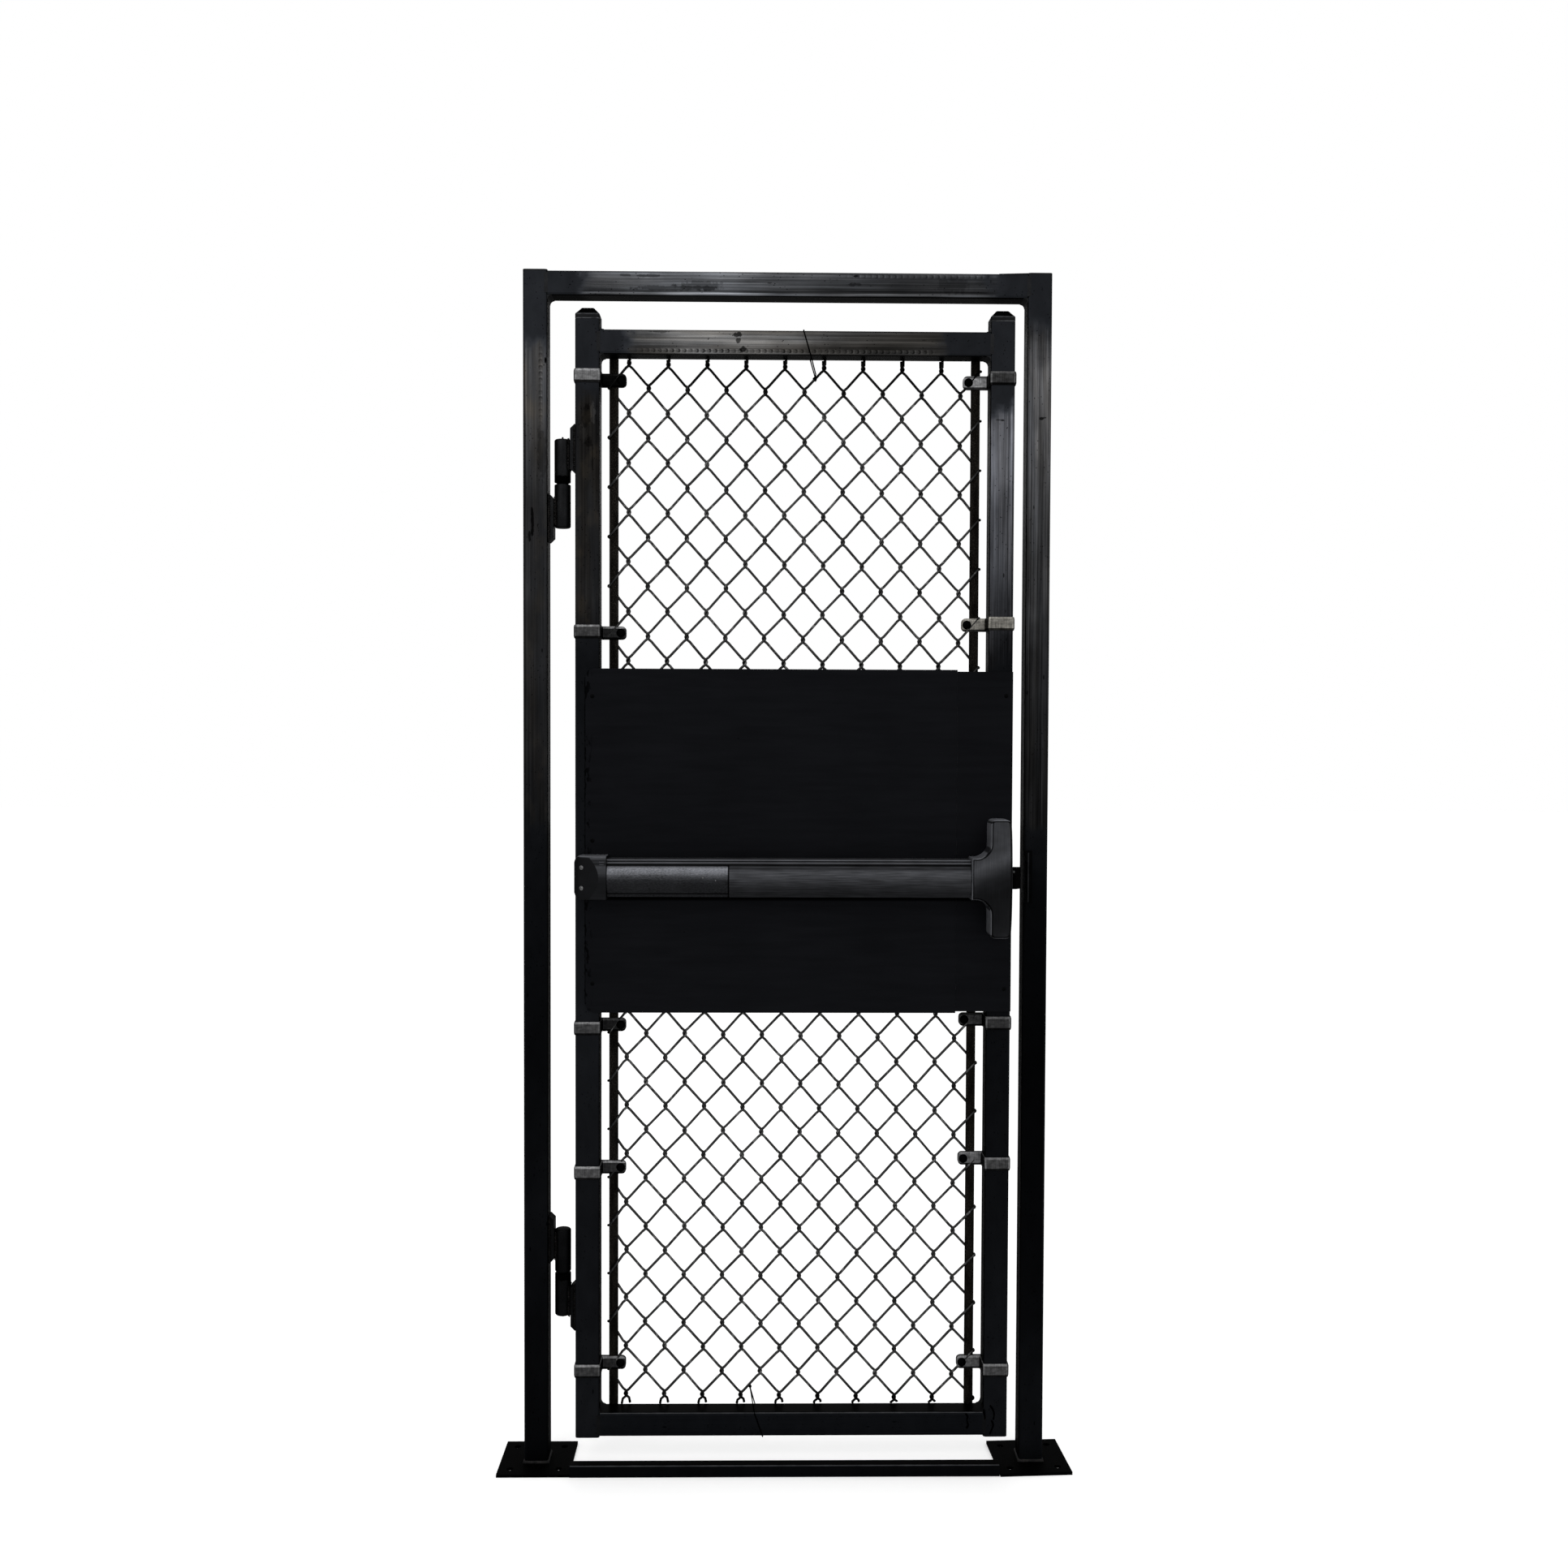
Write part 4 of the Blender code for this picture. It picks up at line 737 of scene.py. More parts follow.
@dataclass(frozen=True)
class PowderCoat(Finish):
    """Satin powder coat of the exit device, with zones of brightness over its height that paint
    the highlights and dark lines of the light on it, and, where given, painted rim light.
    """

    profile: tuple[Zone, ...] = ()
    centre: float = 0.0
    slant: float = 0.0
    brushed: float = 0.2
    upright: bool = False
    speckle: float = 0.0
    rims: Union[PaintedRimLight, None] = None
    seams: tuple[float, ...] = ()

    def base(self, graph: Graph) -> Value:
        """Return the brightness of the coat without its texture: its painted light and shade, and
        its dark seams.
        """
        away = graph.less(graph.axes[0], self.centre)
        place = graph.less(graph.axes[2], graph.times(away, self.slant))
        level = graph.levels(place, self.profile)
        for seam in self.seams:
            away = graph.unsigned(graph.less(graph.axes[0], seam))
            level = graph.times(level, graph.remap(away, 0.7 * MM, 1.8 * MM, 0.08, 1.0))
        if self.rims is None:
            return level
        # Painted light: faces that turn aside take the painted rim light levels, with a painted
        # dark line where they meet the front
        turned = ((graph.times(graph.facing[0], -1.0), self.rims.left),
                  (graph.facing[0], self.rims.right), (graph.facing[2], self.rims.up),
                  (graph.times(graph.facing[2], -1.0), self.rims.down))
        for facing, rim in turned:
            line = graph.times(graph.remap(facing, 0.18, 0.3), graph.remap(facing, 0.68, 0.56))
            level = graph.times(level, graph.remap(line, 0.0, 1.0, 1.0, self.rims.line))
            level = graph.blend(graph.remap(facing, 0.6, 0.72), level, rim)
        return level

    def paint(self, graph: Graph) -> None:
        """Build the nodes of the finish."""
        size = (0.0018, 0.01, 0.05) if self.upright else (0.05, 0.01, 0.0016)
        brush = graph.swing(graph.grain(size, 3.0, 3.0), 1.0 - self.brushed, 1.0 + self.brushed)
        cloud = graph.swing(graph.grain((0.04, 0.04, 0.02), 3.0, 9.0), 0.86, 1.14)
        orange = graph.grain(1.1 * MM, 2.0, 5.0)
        base = self.base(graph)
        flecks = graph.swing(graph.grain((0.004, 0.004, 0.0016), 3.0, 21.0), -1.0, 1.0)
        flecks = graph.times(flecks, base, self.speckle)
        level = graph.plus(graph.times(base, brush, cloud), flecks)
        graph.finish(graph.lit(graph.tint(cloud, (1.0, 1.0, 1.02), (0.97, 1.0, 1.1)), level),
                     graph.swing(orange, 0.42, 0.52), 0.7, 0.1, 0.3)
        graph.relief(orange, 0.06 * MM)


@dataclass(frozen=True)
class EndCapCoat(PowderCoat):
    """Powder coat of the end cap, with the dark face inlaid in its front."""

    face_level: float = 0.0072
    face_edge: float = 138.0 * MM
    face_bow: float = 15.0 * MM
    middle: float = 1.251
    half: float = 38.0 * MM

    def base(self, graph: Graph) -> Value:
        """Return the brightness of the coat, with the dark face let into it."""
        level = super().base(graph)
        rise = graph.times(graph.less(graph.axes[2], self.middle), 1.0 / self.half)
        bow = graph.times(rise, rise, self.face_bow)
        reach = graph.plus(graph.axes[0], bow)
        inside = graph.times(graph.remap(reach, self.face_edge, self.face_edge - 1.2 * MM),
                             graph.remap(graph.unsigned(rise), 1.12, 1.09),
                             graph.remap(graph.facing[1], -0.1, -0.3))
        return graph.blend(inside, level, self.face_level)


@dataclass(frozen=True)
class BareMetal(Finish):
    """Bare or zinc plated steel of pins, bolts and screws."""

    level: float = 0.2
    roughness: float = 0.35

    def paint(self, graph: Graph) -> None:
        """Build the nodes of the finish."""
        turned = graph.grain((0.004, 0.004, 0.0008), 2.0, 3.0)
        level = graph.times(graph.swing(turned, 0.6, 1.4), self.level)
        graph.finish(graph.lit((1.0, 1.0, 1.02), level),
                     graph.swing(turned, self.roughness, self.roughness + 0.15), 1.0, 0.5, 0.6)
        graph.relief(turned, 0.05 * MM)


# ---- Shapes


def box(size: Point, centre: Point = (0.0, 0.0, 0.0)) -> Mesh:
    """Return a box of a size about a centre."""
    mesh = bmesh.new()
    bmesh.ops.create_cube(mesh, size=1.0)
    bmesh.ops.scale(mesh, vec=size, verts=mesh.verts)
    return shifted(mesh, centre)


def rounded(mesh: Mesh, edges: Iterable[Edge], radius: float, segments: int = 3) -> Mesh:
    """Round some edges of a mesh by a radius, in a number of faces, and return the mesh."""
    bmesh.ops.bevel(mesh, geom=list(edges), offset=radius, segments=segments, profile=0.5,
                    affect="EDGES", clamp_overlap=True, material=-1)
    return mesh


def along(mesh: Mesh, axis: Axis) -> list[Edge]:
    """Return the edges that run along an axis."""
    found = []
    for edge in mesh.edges:
        run = edge.verts[1].co - edge.verts[0].co
        if abs(run[axis.value]) > 0.999 * run.length:
            found.append(edge)
    return found


def moved(geometry: dict) -> list[bmesh.types.BMVert]:
    """Return the new vertices of an extrusion."""
    return [item for item in geometry["geom"] if isinstance(item, bmesh.types.BMVert)]


def new_faces(geometry: dict) -> list[bmesh.types.BMFace]:
    """Return the new faces of an extrusion."""
    return [item for item in geometry["geom"] if isinstance(item, bmesh.types.BMFace)]


def sliced(mesh: Mesh, axis: Axis, place: float, clear: bool = False) -> list:
    """Cut a mesh by a plane across an axis, and return what lies along the cut."""
    normal = [float(one is axis) for one in Axis]
    geometry = list(mesh.verts) + list(mesh.edges) + list(mesh.faces)
    return bmesh.ops.bisect_plane(mesh, geom=geometry, plane_no=normal, clear_inner=clear,
                                  plane_co=[place * part for part in normal])["geom_cut"]


def middle_of(name: str) -> Point:
    """Return the middle of the box of a solid."""
    return tuple((low + high) / 2 for low, high in zip(*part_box(name)))


def shifted(mesh: Mesh, way: Sequence[float]) -> Mesh:
    """Move a mesh, and return it."""
    bmesh.ops.translate(mesh, vec=way, verts=mesh.verts)
    return mesh


def placed(name: str, mesh: Mesh) -> bpy.types.Object:
    """Put a mesh in the scene as an object, and free it."""
    data = bpy.data.meshes.new(name)
    mesh.to_mesh(data)
    mesh.free()
    item = bpy.data.objects.new(name, data)
    bpy.context.scene.collection.objects.link(item)
    return item


def evaluated(item: bpy.types.Object) -> Mesh:
    """Return an object's mesh with its modifiers carried out, and remove the object."""
    bpy.context.view_layer.update()
    mesh = bmesh.new()
    mesh.from_mesh(item.evaluated_get(bpy.context.evaluated_depsgraph_get()).to_mesh())
    bpy.data.objects.remove(item, do_unlink=True)
    return mesh


def joined(meshes: Iterable[Mesh]) -> Mesh:
    """Return several meshes as one, and free them."""
    whole = bmesh.new()
    for mesh in meshes:
        carrier = bpy.data.meshes.new("carrier")
        mesh.to_mesh(carrier)
        mesh.free()
        whole.from_mesh(carrier)
        bpy.data.meshes.remove(carrier)
    return whole


def turned(profile: Sequence[tuple[float, float]], centre: Point, axis: Axis = Axis.Z,
           flip: bool = False, steps: int = 40) -> Mesh:
    """Return a turned shape.

    Args:
        profile: its half outline, as pairs of radius and height.
        centre: where the height is 0.
        axis: the axis that it is turned about.
        flip: whether the height runs the other way.
        steps: how many faces it has round.

    Returns:
        The closed mesh.
    """
    mesh = bmesh.new()
    points = [mesh.verts.new((radius, 0.0, height)) for radius, height in profile]
    edges = [mesh.edges.new(pair) for pair in zip(points, points[1:])]
    bmesh.ops.spin(mesh, geom=points + edges, cent=(0.0, 0.0, 0.0), axis=(0.0, 0.0, 1.0),
                   dvec=(0.0, 0.0, 0.0), angle=2.0 * math.pi, steps=steps, use_merge=True)
    bmesh.ops.remove_doubles(mesh, verts=mesh.verts, dist=WELD_REACH)
    bmesh.ops.dissolve_degenerate(mesh, edges=mesh.edges, dist=WELD_REACH)
    bmesh.ops.recalc_face_normals(mesh, faces=mesh.faces)
    turn = Matrix.Rotation(math.pi, 4, "X") if flip else Matrix.Identity(4)
    if axis is Axis.Y:
        turn = Matrix.Rotation(math.pi / 2, 4, "X") @ turn
    if axis is Axis.X:
        turn = Matrix.Rotation(math.pi / 2, 4, "Y") @ turn
    bmesh.ops.transform(mesh, matrix=Matrix.Translation(centre) @ turn, verts=mesh.verts)
    return mesh


@dataclass(frozen=True)
class Bead:
    """One point of a wire or weld run, and how thick the run is there."""

    spot: Point
    swell: float = 1.0


def swept(runs: Sequence[Sequence[Bead]], radius: float, sides: int = 8,
          smooth: bool = False) -> Mesh:
    """Return round runs along points.

    Args:
        runs: the runs, each a row of beads.
        radius: the radius where a bead's swell is 1.
        sides: how many faces a run has round: 4, 6 or 8.
        smooth: whether the run eases through its points.

    Returns:
        One mesh with every run, closed at the ends.
    """
    curve = bpy.data.curves.new("run", "CURVE")
    curve.dimensions = "3D"
    curve.bevel_depth = radius
    curve.bevel_resolution = sides // 2 - 2
    curve.use_fill_caps = True
    curve.resolution_u = 5
    for run in runs:
        spline = curve.splines.new("NURBS" if smooth else "POLY")
        spline.points.add(len(run) - 1)
        for point, bead in zip(spline.points, run):
            point.co = (*bead.spot, 1.0)
            point.radius = bead.swell
        if smooth:
            spline.order_u = 3
            spline.use_endpoint_u = True
    item = bpy.data.objects.new("run", curve)
    bpy.context.scene.collection.objects.link(item)
    mesh = evaluated(item)
    bmesh.ops.remove_doubles(mesh, verts=mesh.verts, dist=WELD_REACH)
    bmesh.ops.recalc_face_normals(mesh, faces=mesh.faces)
    bpy.data.curves.remove(curve)
    return mesh


def weld_run(start: Point, end: Point, pitch: float = 3.2 * MM) -> list[Bead]:
    """Return a weld run between two points, with a ripple at every pitch."""
    first, last = Vector(start), Vector(end)
    count = max(4, round((last - first).length / pitch)) * 3
    run = []
    for step in range(count + 1):
        share = step / count
        sway = 0.35 * MM * math.sin(step * 0.9) + 0.3 * MM * math.sin(step * 2.3)
        spot = first.lerp(last, share) + Vector((sway, 0.4 * sway, 0.0))
        swell = 1.0 + 0.26 * math.cos(step * math.tau / 3) + 0.12 * math.sin(step * 0.55)
        ends = min(1.0, 0.55 + 6.0 * min(share, 1.0 - share))
        run.append(Bead(tuple(spot), swell * ends))
    return run


def prism(outline: Sequence[tuple[float, float]], depth: float, centre: Point) -> Mesh:
    """Return an outline in the XZ plane drawn out along Y, about a centre."""
    mesh = bmesh.new()
    face = mesh.faces.new([mesh.verts.new((x, -depth / 2, z)) for x, z in outline])
    grown = bmesh.ops.extrude_face_region(mesh, geom=[face])
    bmesh.ops.translate(mesh, vec=(0.0, depth, 0.0), verts=moved(grown))
    bmesh.ops.recalc_face_normals(mesh, faces=mesh.faces)
    return shifted(mesh, centre)


def pressed(mesh: Mesh, thickness: float, half: float, rim: float, share: float) -> Mesh:
    """Return a strap of sheet thickened outwards, thinner along its upper and lower rim.

    Args:
        mesh: the sheet about the height 0, which is freed.
        thickness: how thick its middle is.
        half: half its height.
        rim: how high each rim is.
        share: how thick the rim's edge is, as a share.

    Returns:
        The closed mesh.
    """
    item = placed("strap", mesh)
    group = item.vertex_groups.new(name="wall")
    for vert in item.data.vertices:
        outer = max(0.0, abs(vert.co.z) - half + rim) / rim
        group.add([vert.index], 1.0 - (1.0 - share) * outer, "REPLACE")
    wall = item.modifiers.new("wall", "SOLIDIFY")
    wall.thickness = thickness
    wall.offset = 1.0
    wall.use_even_offset = True
    wall.vertex_group = group.name
    edge = item.modifiers.new("edge", "BEVEL")
    edge.width = 0.4 * MM
    edge.segments = 2
    edge.limit_method = "ANGLE"
    edge.angle_limit = math.radians(50.0)
    return evaluated(item)


def cut(mesh: Mesh, tool: Mesh) -> Mesh:
    """Return a mesh with another one cut out of it, and free both."""
    blank, cutter = placed("blank", mesh), placed("cutter", tool)
    step = blank.modifiers.new("cut", "BOOLEAN")
    step.operation = "DIFFERENCE"
    step.solver = "EXACT"
    step.object = cutter
    result = evaluated(blank)
    bpy.data.objects.remove(cutter, do_unlink=True)
    return result


# ---- Sub-assemblies


@dataclass
class Assembly:
    """A sub-assembly of the gate: it builds its pieces, dresses them and reports them."""

    nodes: dict

    def __post_init__(self) -> None:
        """Start with no materials."""
        self.made: dict[str, bpy.types.Material] = {}

    def material(self, finish: Finish) -> bpy.types.Material:
        """Return the material of a finish, made once."""
        if finish.name not in self.made:
            self.made[finish.name] = finish.make()
        return self.made[finish.name]

    def dress(self, finish: Finish, *names: str) -> None:
        """Give solids that keep their shape a finish."""
        for name in names:
            for slot in self.nodes[name].material_slots:
                slot.material = self.material(finish)
            LOG.info("%s wears %s", name, finish.name)

    def add(self, name: str, mesh: Mesh, finish: Finish, body: Body, slot: Slot,
            replaced: Sequence[str] = (), sharp: float = 35.0) -> None:
        """Put a mesh in the scene as a piece of the gate.

        Args:
            name: the name of the piece.
            mesh: its mesh, which is freed.
            finish: its finish.
            body: the body that it rides on.
            slot: the material slot that it belongs to; it is not used.
            replaced: the solids that it stands for.
            sharp: edges turned by more degrees than this stay sharp.
        """
        item = placed(name, mesh)
        item.data.shade_smooth()
        item.data.set_sharp_from_angle(angle=math.radians(sharp))
        item.data.materials.append(self.material(finish))
        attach(item, body.value)
        if replaced:
            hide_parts(*replaced)
        LOG.info("%s: %d faces, %s", name, len(item.data.polygons), finish.name)

    def painted_highlight_edge(self, solid: str, body: Body) -> None:
        """Add a painted highlight: a light line along the upper front edge of a tube, where the
        light catches it.
        """
        low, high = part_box(solid)
        inset, count = 0.9 * MM, 60
        run = []
        for step in range(count + 1):
            x = low.x + 1.0 * MM + (high.x - low.x - 2.0 * MM) * step / count
            swell = 1.0 + 0.12 * math.sin(2.3 * step) + 0.06 * math.sin(5.1 * step)
            run.append(Bead((x, low.y + inset, high.z - inset), swell))
        self.add(solid + "_painted_highlight_edge", swept([run], 1.35 * MM, 8),
                 PaintedSteel("worn_edge_paint", level=0.042), body, Slot.STEEL)

    def corner_weld(self, name: str, joint: Point, way: int, height: float, folds: Sequence[int],
                    finish: Finish, body: Body) -> None:
        """Add the weld of a rail on an upright: ground flush in front and behind, with a
        fillet left in each inner corner.

        Args:
            name: the name of the piece.
            joint: the middle of the joint.
            way: 1 where the rail leaves towards +X, -1 towards -X.
            height: how high the rail is.
            folds: 1 for a fillet over the rail, -1 for one under it.
            finish: its finish.
            body: the body that it rides on.
        """
        joint_x, half_depth, joint_z = joint
        parts = []
        for side in (-1, 1):
            filler = box((8.0 * MM, 6.0 * MM, height - 9.0 * MM),
                         (joint_x - way * 2.4 * MM, side * (half_depth - 2.9 * MM), joint_z))
            parts.append(rounded(filler, filler.edges, 0.1 * MM, 1))
        radius = 9.0 * MM
        for fold in folds:
            outline = [(-0.6 * MM * way, -0.6 * MM * fold), (way * radius, -0.6 * MM * fold)]
            for step in range(9):
                turn = math.pi / 2 * step / 8
                outline.append((way * radius * (1.0 - math.sin(turn)),
                                fold * radius * (1.0 - math.cos(turn))))
            outline.append((-0.6 * MM * way, fold * radius))
            spot = (joint_x, 0.0, joint_z + fold * height / 2)
            parts.append(prism(outline, 2 * half_depth - 2.0 * MM, spot))
        self.add(name, joined(parts), finish, body, Slot.STEEL)


def zones(*pairs: tuple[float, float]) -> tuple[Zone, ...]:
    """Return zones from pairs of place and brightness."""
    return tuple(Zone(place, level) for place, level in pairs)


def spread(*pairs: tuple[float, float]) -> tuple[Zone, ...]:
    """Return zones across a tube, from pairs of millimetres from its middle and share."""
    return tuple(Zone(place * MM, level) for place, level in pairs)


@dataclass
class PortalFrame(Assembly):
    """The posts, the header, the foot plates and the threshold."""

    tube: float = 50.8 * MM
    bead_height: float = 5.5 * MM
    bead_reach: float = 3.0 * MM

    def build(self) -> None:
        """Dress the tubes and plates, and add the welds."""
        self.posts()
        self.header()
        plain = PaintedSteel("top_plate_paint", level=0.0145)
        self.dress(plain, "hinge_post_top_plate", "latch_post_top_plate")
        self.dress(PaintedSteel("foot_plate_paint", level=0.0012, roughness=0.6),
                   "hinge_post_base_plate", "latch_post_base_plate")
        # Painted shade: the threshold's paint is given darker than the same paint higher up, as it
        # lies low
        self.dress(TubeSteel(
            "threshold_paint", zones((0.0, 0.0028), (0.5, 0.0034), (1.1, 0.0028)), along=Axis.X,
            streaks=0.1, warmth=0.0, tone=(0.9, 1.0, 1.2), shift=140.0), "threshold")
        # Painted highlight along the threshold's upper front edge
        self.painted_highlight_edge("threshold", Body.FRAME)
        self.top_weld(plain)
        paint = PaintedSteel("portal_weld_paint", level=0.0145)
        for name, way in (("hinge_post", 1), ("latch_post", -1)):
            low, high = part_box(name)
            inner = high.x if way > 0 else low.x
            joint = (inner, self.tube / 2, middle_of("header")[2])
            self.corner_weld(name + "_header_weld", joint, way, self.tube, (-1,), paint,
                             Body.FRAME)
            self.foot_weld(name)

    def posts(self) -> None:
        """Dress the two posts."""
        # Painted shade: besides the painted top and the bare mill scale, the posts' zones grow
        # darker towards the floor, as the light falls off
        self.dress(TubeSteel("hinge_post_steel", zones(
            (0.0, 0.0025), (0.3, 0.003), (0.53, 0.0046), (0.87, 0.0026), (1.22, 0.0043),
            (1.43, 0.0072), (1.68, 0.014), (1.86, 0.0175), (2.01, 0.0125), (2.08, 0.02),
            (2.15, 0.027), (2.3, 0.042), (2.345, 0.036), (2.37, 0.0165), (2.6, 0.015)),
            across=spread((-25.4, 0.5), (-22.5, 0.2), (-20.0, 0.22), (-18.0, 0.62), (-14.0, 0.46),
                          (-9.0, 0.44), (-6.0, 0.36), (2.0, 0.42), (9.0, 0.34), (17.0, 0.4),
                          (22.0, 0.44), (25.4, 0.3)),
            bare=(1.35, 2.35), streaks=0.75, warmth=0.4, smudges=0.25, side_shade_level=0.02,
            stains=(Stain(0.0215, 2.321, 0.0018, 0.0055, 1.0),
                    Stain(0.014, 2.13, 0.009, 0.06, 0.4), Stain(-0.006, 1.99, 0.0035, 0.03, 0.85),
                    Stain(-0.012, 1.955, 0.003, 0.012, 0.8)),
            marks=(SeamMarks(2.17, 2.37, 0.0115, reach=4.5 * MM, depth=0.4, upright=True),)),
            "hinge_post")
        self.dress(TubeSteel("latch_post_steel", zones(
            (0.0, 0.0055), (0.18, 0.0048), (0.35, 0.0025), (0.53, 0.002), (0.87, 0.0013),
            (1.22, 0.0024), (1.47, 0.0092), (1.68, 0.0105), (1.85, 0.026), (2.01, 0.028),
            (2.15, 0.058), (2.3, 0.072), (2.38, 0.024), (2.42, 0.0135), (2.6, 0.0118)),
            across=spread((-25.4, 0.12), (-23.0, 0.22), (-17.5, 0.48), (-15.8, 0.18),
                          (-14.0, 0.42), (-10.0, 0.58), (-4.0, 0.56), (0.0, 0.24), (3.0, 0.26),
                          (6.3, 0.44), (8.0, 0.2), (9.7, 0.46), (13.0, 0.58), (15.5, 0.32),
                          (18.8, 0.5), (20.6, 0.16), (22.3, 0.52), (25.4, 0.14)),
            centre=middle_of("latch_post")[0], bare=(1.35, 2.395), warmth=0.25, shift=50.0,
            stains=(Stain(1.0521, 2.207, 0.0045, 0.0035, 0.85),
                    Stain(1.0575, 2.209, 0.004, 0.0015, 0.7))), "latch_post")

    def header(self) -> None:
        """Dress the header."""
        self.dress(TubeSteel("header_steel", zones(
            (0.0, 0.0145), (0.09, 0.0145), (0.105, 0.025), (0.14, 0.034), (0.22, 0.056),
            (0.3, 0.082), (0.4, 0.078), (0.5, 0.04), (0.6, 0.03), (0.7, 0.024), (0.8, 0.023),
            (0.9, 0.028), (0.94, 0.02), (0.98, 0.0138), (1.1, 0.0135)), along=Axis.X,
            across=spread((-25.4, 0.3), (-24.2, 0.4), (-22.8, 1.0), (-20.6, 1.0), (-19.2, 0.4),
                          (-17.8, 0.16), (-14.5, 0.16), (-12.0, 0.32), (-6.0, 0.42), (0.0, 0.44),
                          (4.0, 0.36), (7.0, 0.46), (9.5, 0.34), (12.0, 0.55), (18.0, 0.72),
                          (23.0, 0.95), (25.4, 0.4)),
            centre=middle_of("header")[2], bare=(0.105, 0.945), warmth=0.12,
            tone=(0.95, 1.0, 1.1), shift=90.0,
            stains=(Stain(0.295, 2.4705, 0.095, 0.0055, 0.5),
                    Stain(0.342, 2.4765, 0.045, 0.0095, 0.42),
                    Stain(0.185, 2.4965, 0.012, 0.003, 0.5),
                    Stain(0.235, 2.4955, 0.022, 0.0035, 0.55),
                    Stain(0.661, 2.481, 0.014, 0.004, 0.5),
                    Stain(0.664, 2.4985, 0.006, 0.003, 0.9),
                    Stain(0.865, 2.48, 0.035, 0.016, 0.3)),
            marks=(SeamMarks(0.62, 0.96, 2.4975, reach=4.0 * MM, depth=0.45),)), "header")

    def top_weld(self, finish: Finish) -> None:
        """Add the weld over the header's latch end, which slopes down away from the post."""
        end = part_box("header")[1].x
        slope = box((60.0 * MM, 46.0 * MM, 1.9 * MM), (end - 29.6 * MM, 0.0, 2506.9 * MM))
        for vert in slope.verts:
            if vert.co.x < end - 30.0 * MM and vert.co.z > 2506.5 * MM:
                vert.co.z = 2506.05 * MM
        self.add("latch_post_header_top_weld", rounded(slope, along(slope, Axis.X), 0.5 * MM, 2),
                 finish, Body.FRAME, Slot.STEEL)

    def foot_weld(self, post: str) -> None:
        """Add the fillet weld round the foot of a post."""
        plate_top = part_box(post + "_base_plate")[1].z
        middle = (middle_of(post)[0], 0.0, plate_top + self.bead_height / 2)
        wide = self.tube + 2 * self.bead_reach
        mesh = box((wide, wide, self.bead_height), middle)
        for vert in mesh.verts:
            if vert.co.z > middle[2]:
                vert.co.x = middle[0] + (vert.co.x - middle[0]) * (self.tube + 1.5 * MM) / wide
                vert.co.y *= (self.tube + 1.5 * MM) / wide
        rounded(mesh, mesh.edges, 1.2 * MM, 2)
        self.add(post + "_foot_weld", mesh, WeldMetal("foot_weld_metal", level=0.009),
                 Body.FRAME, Slot.STEEL)


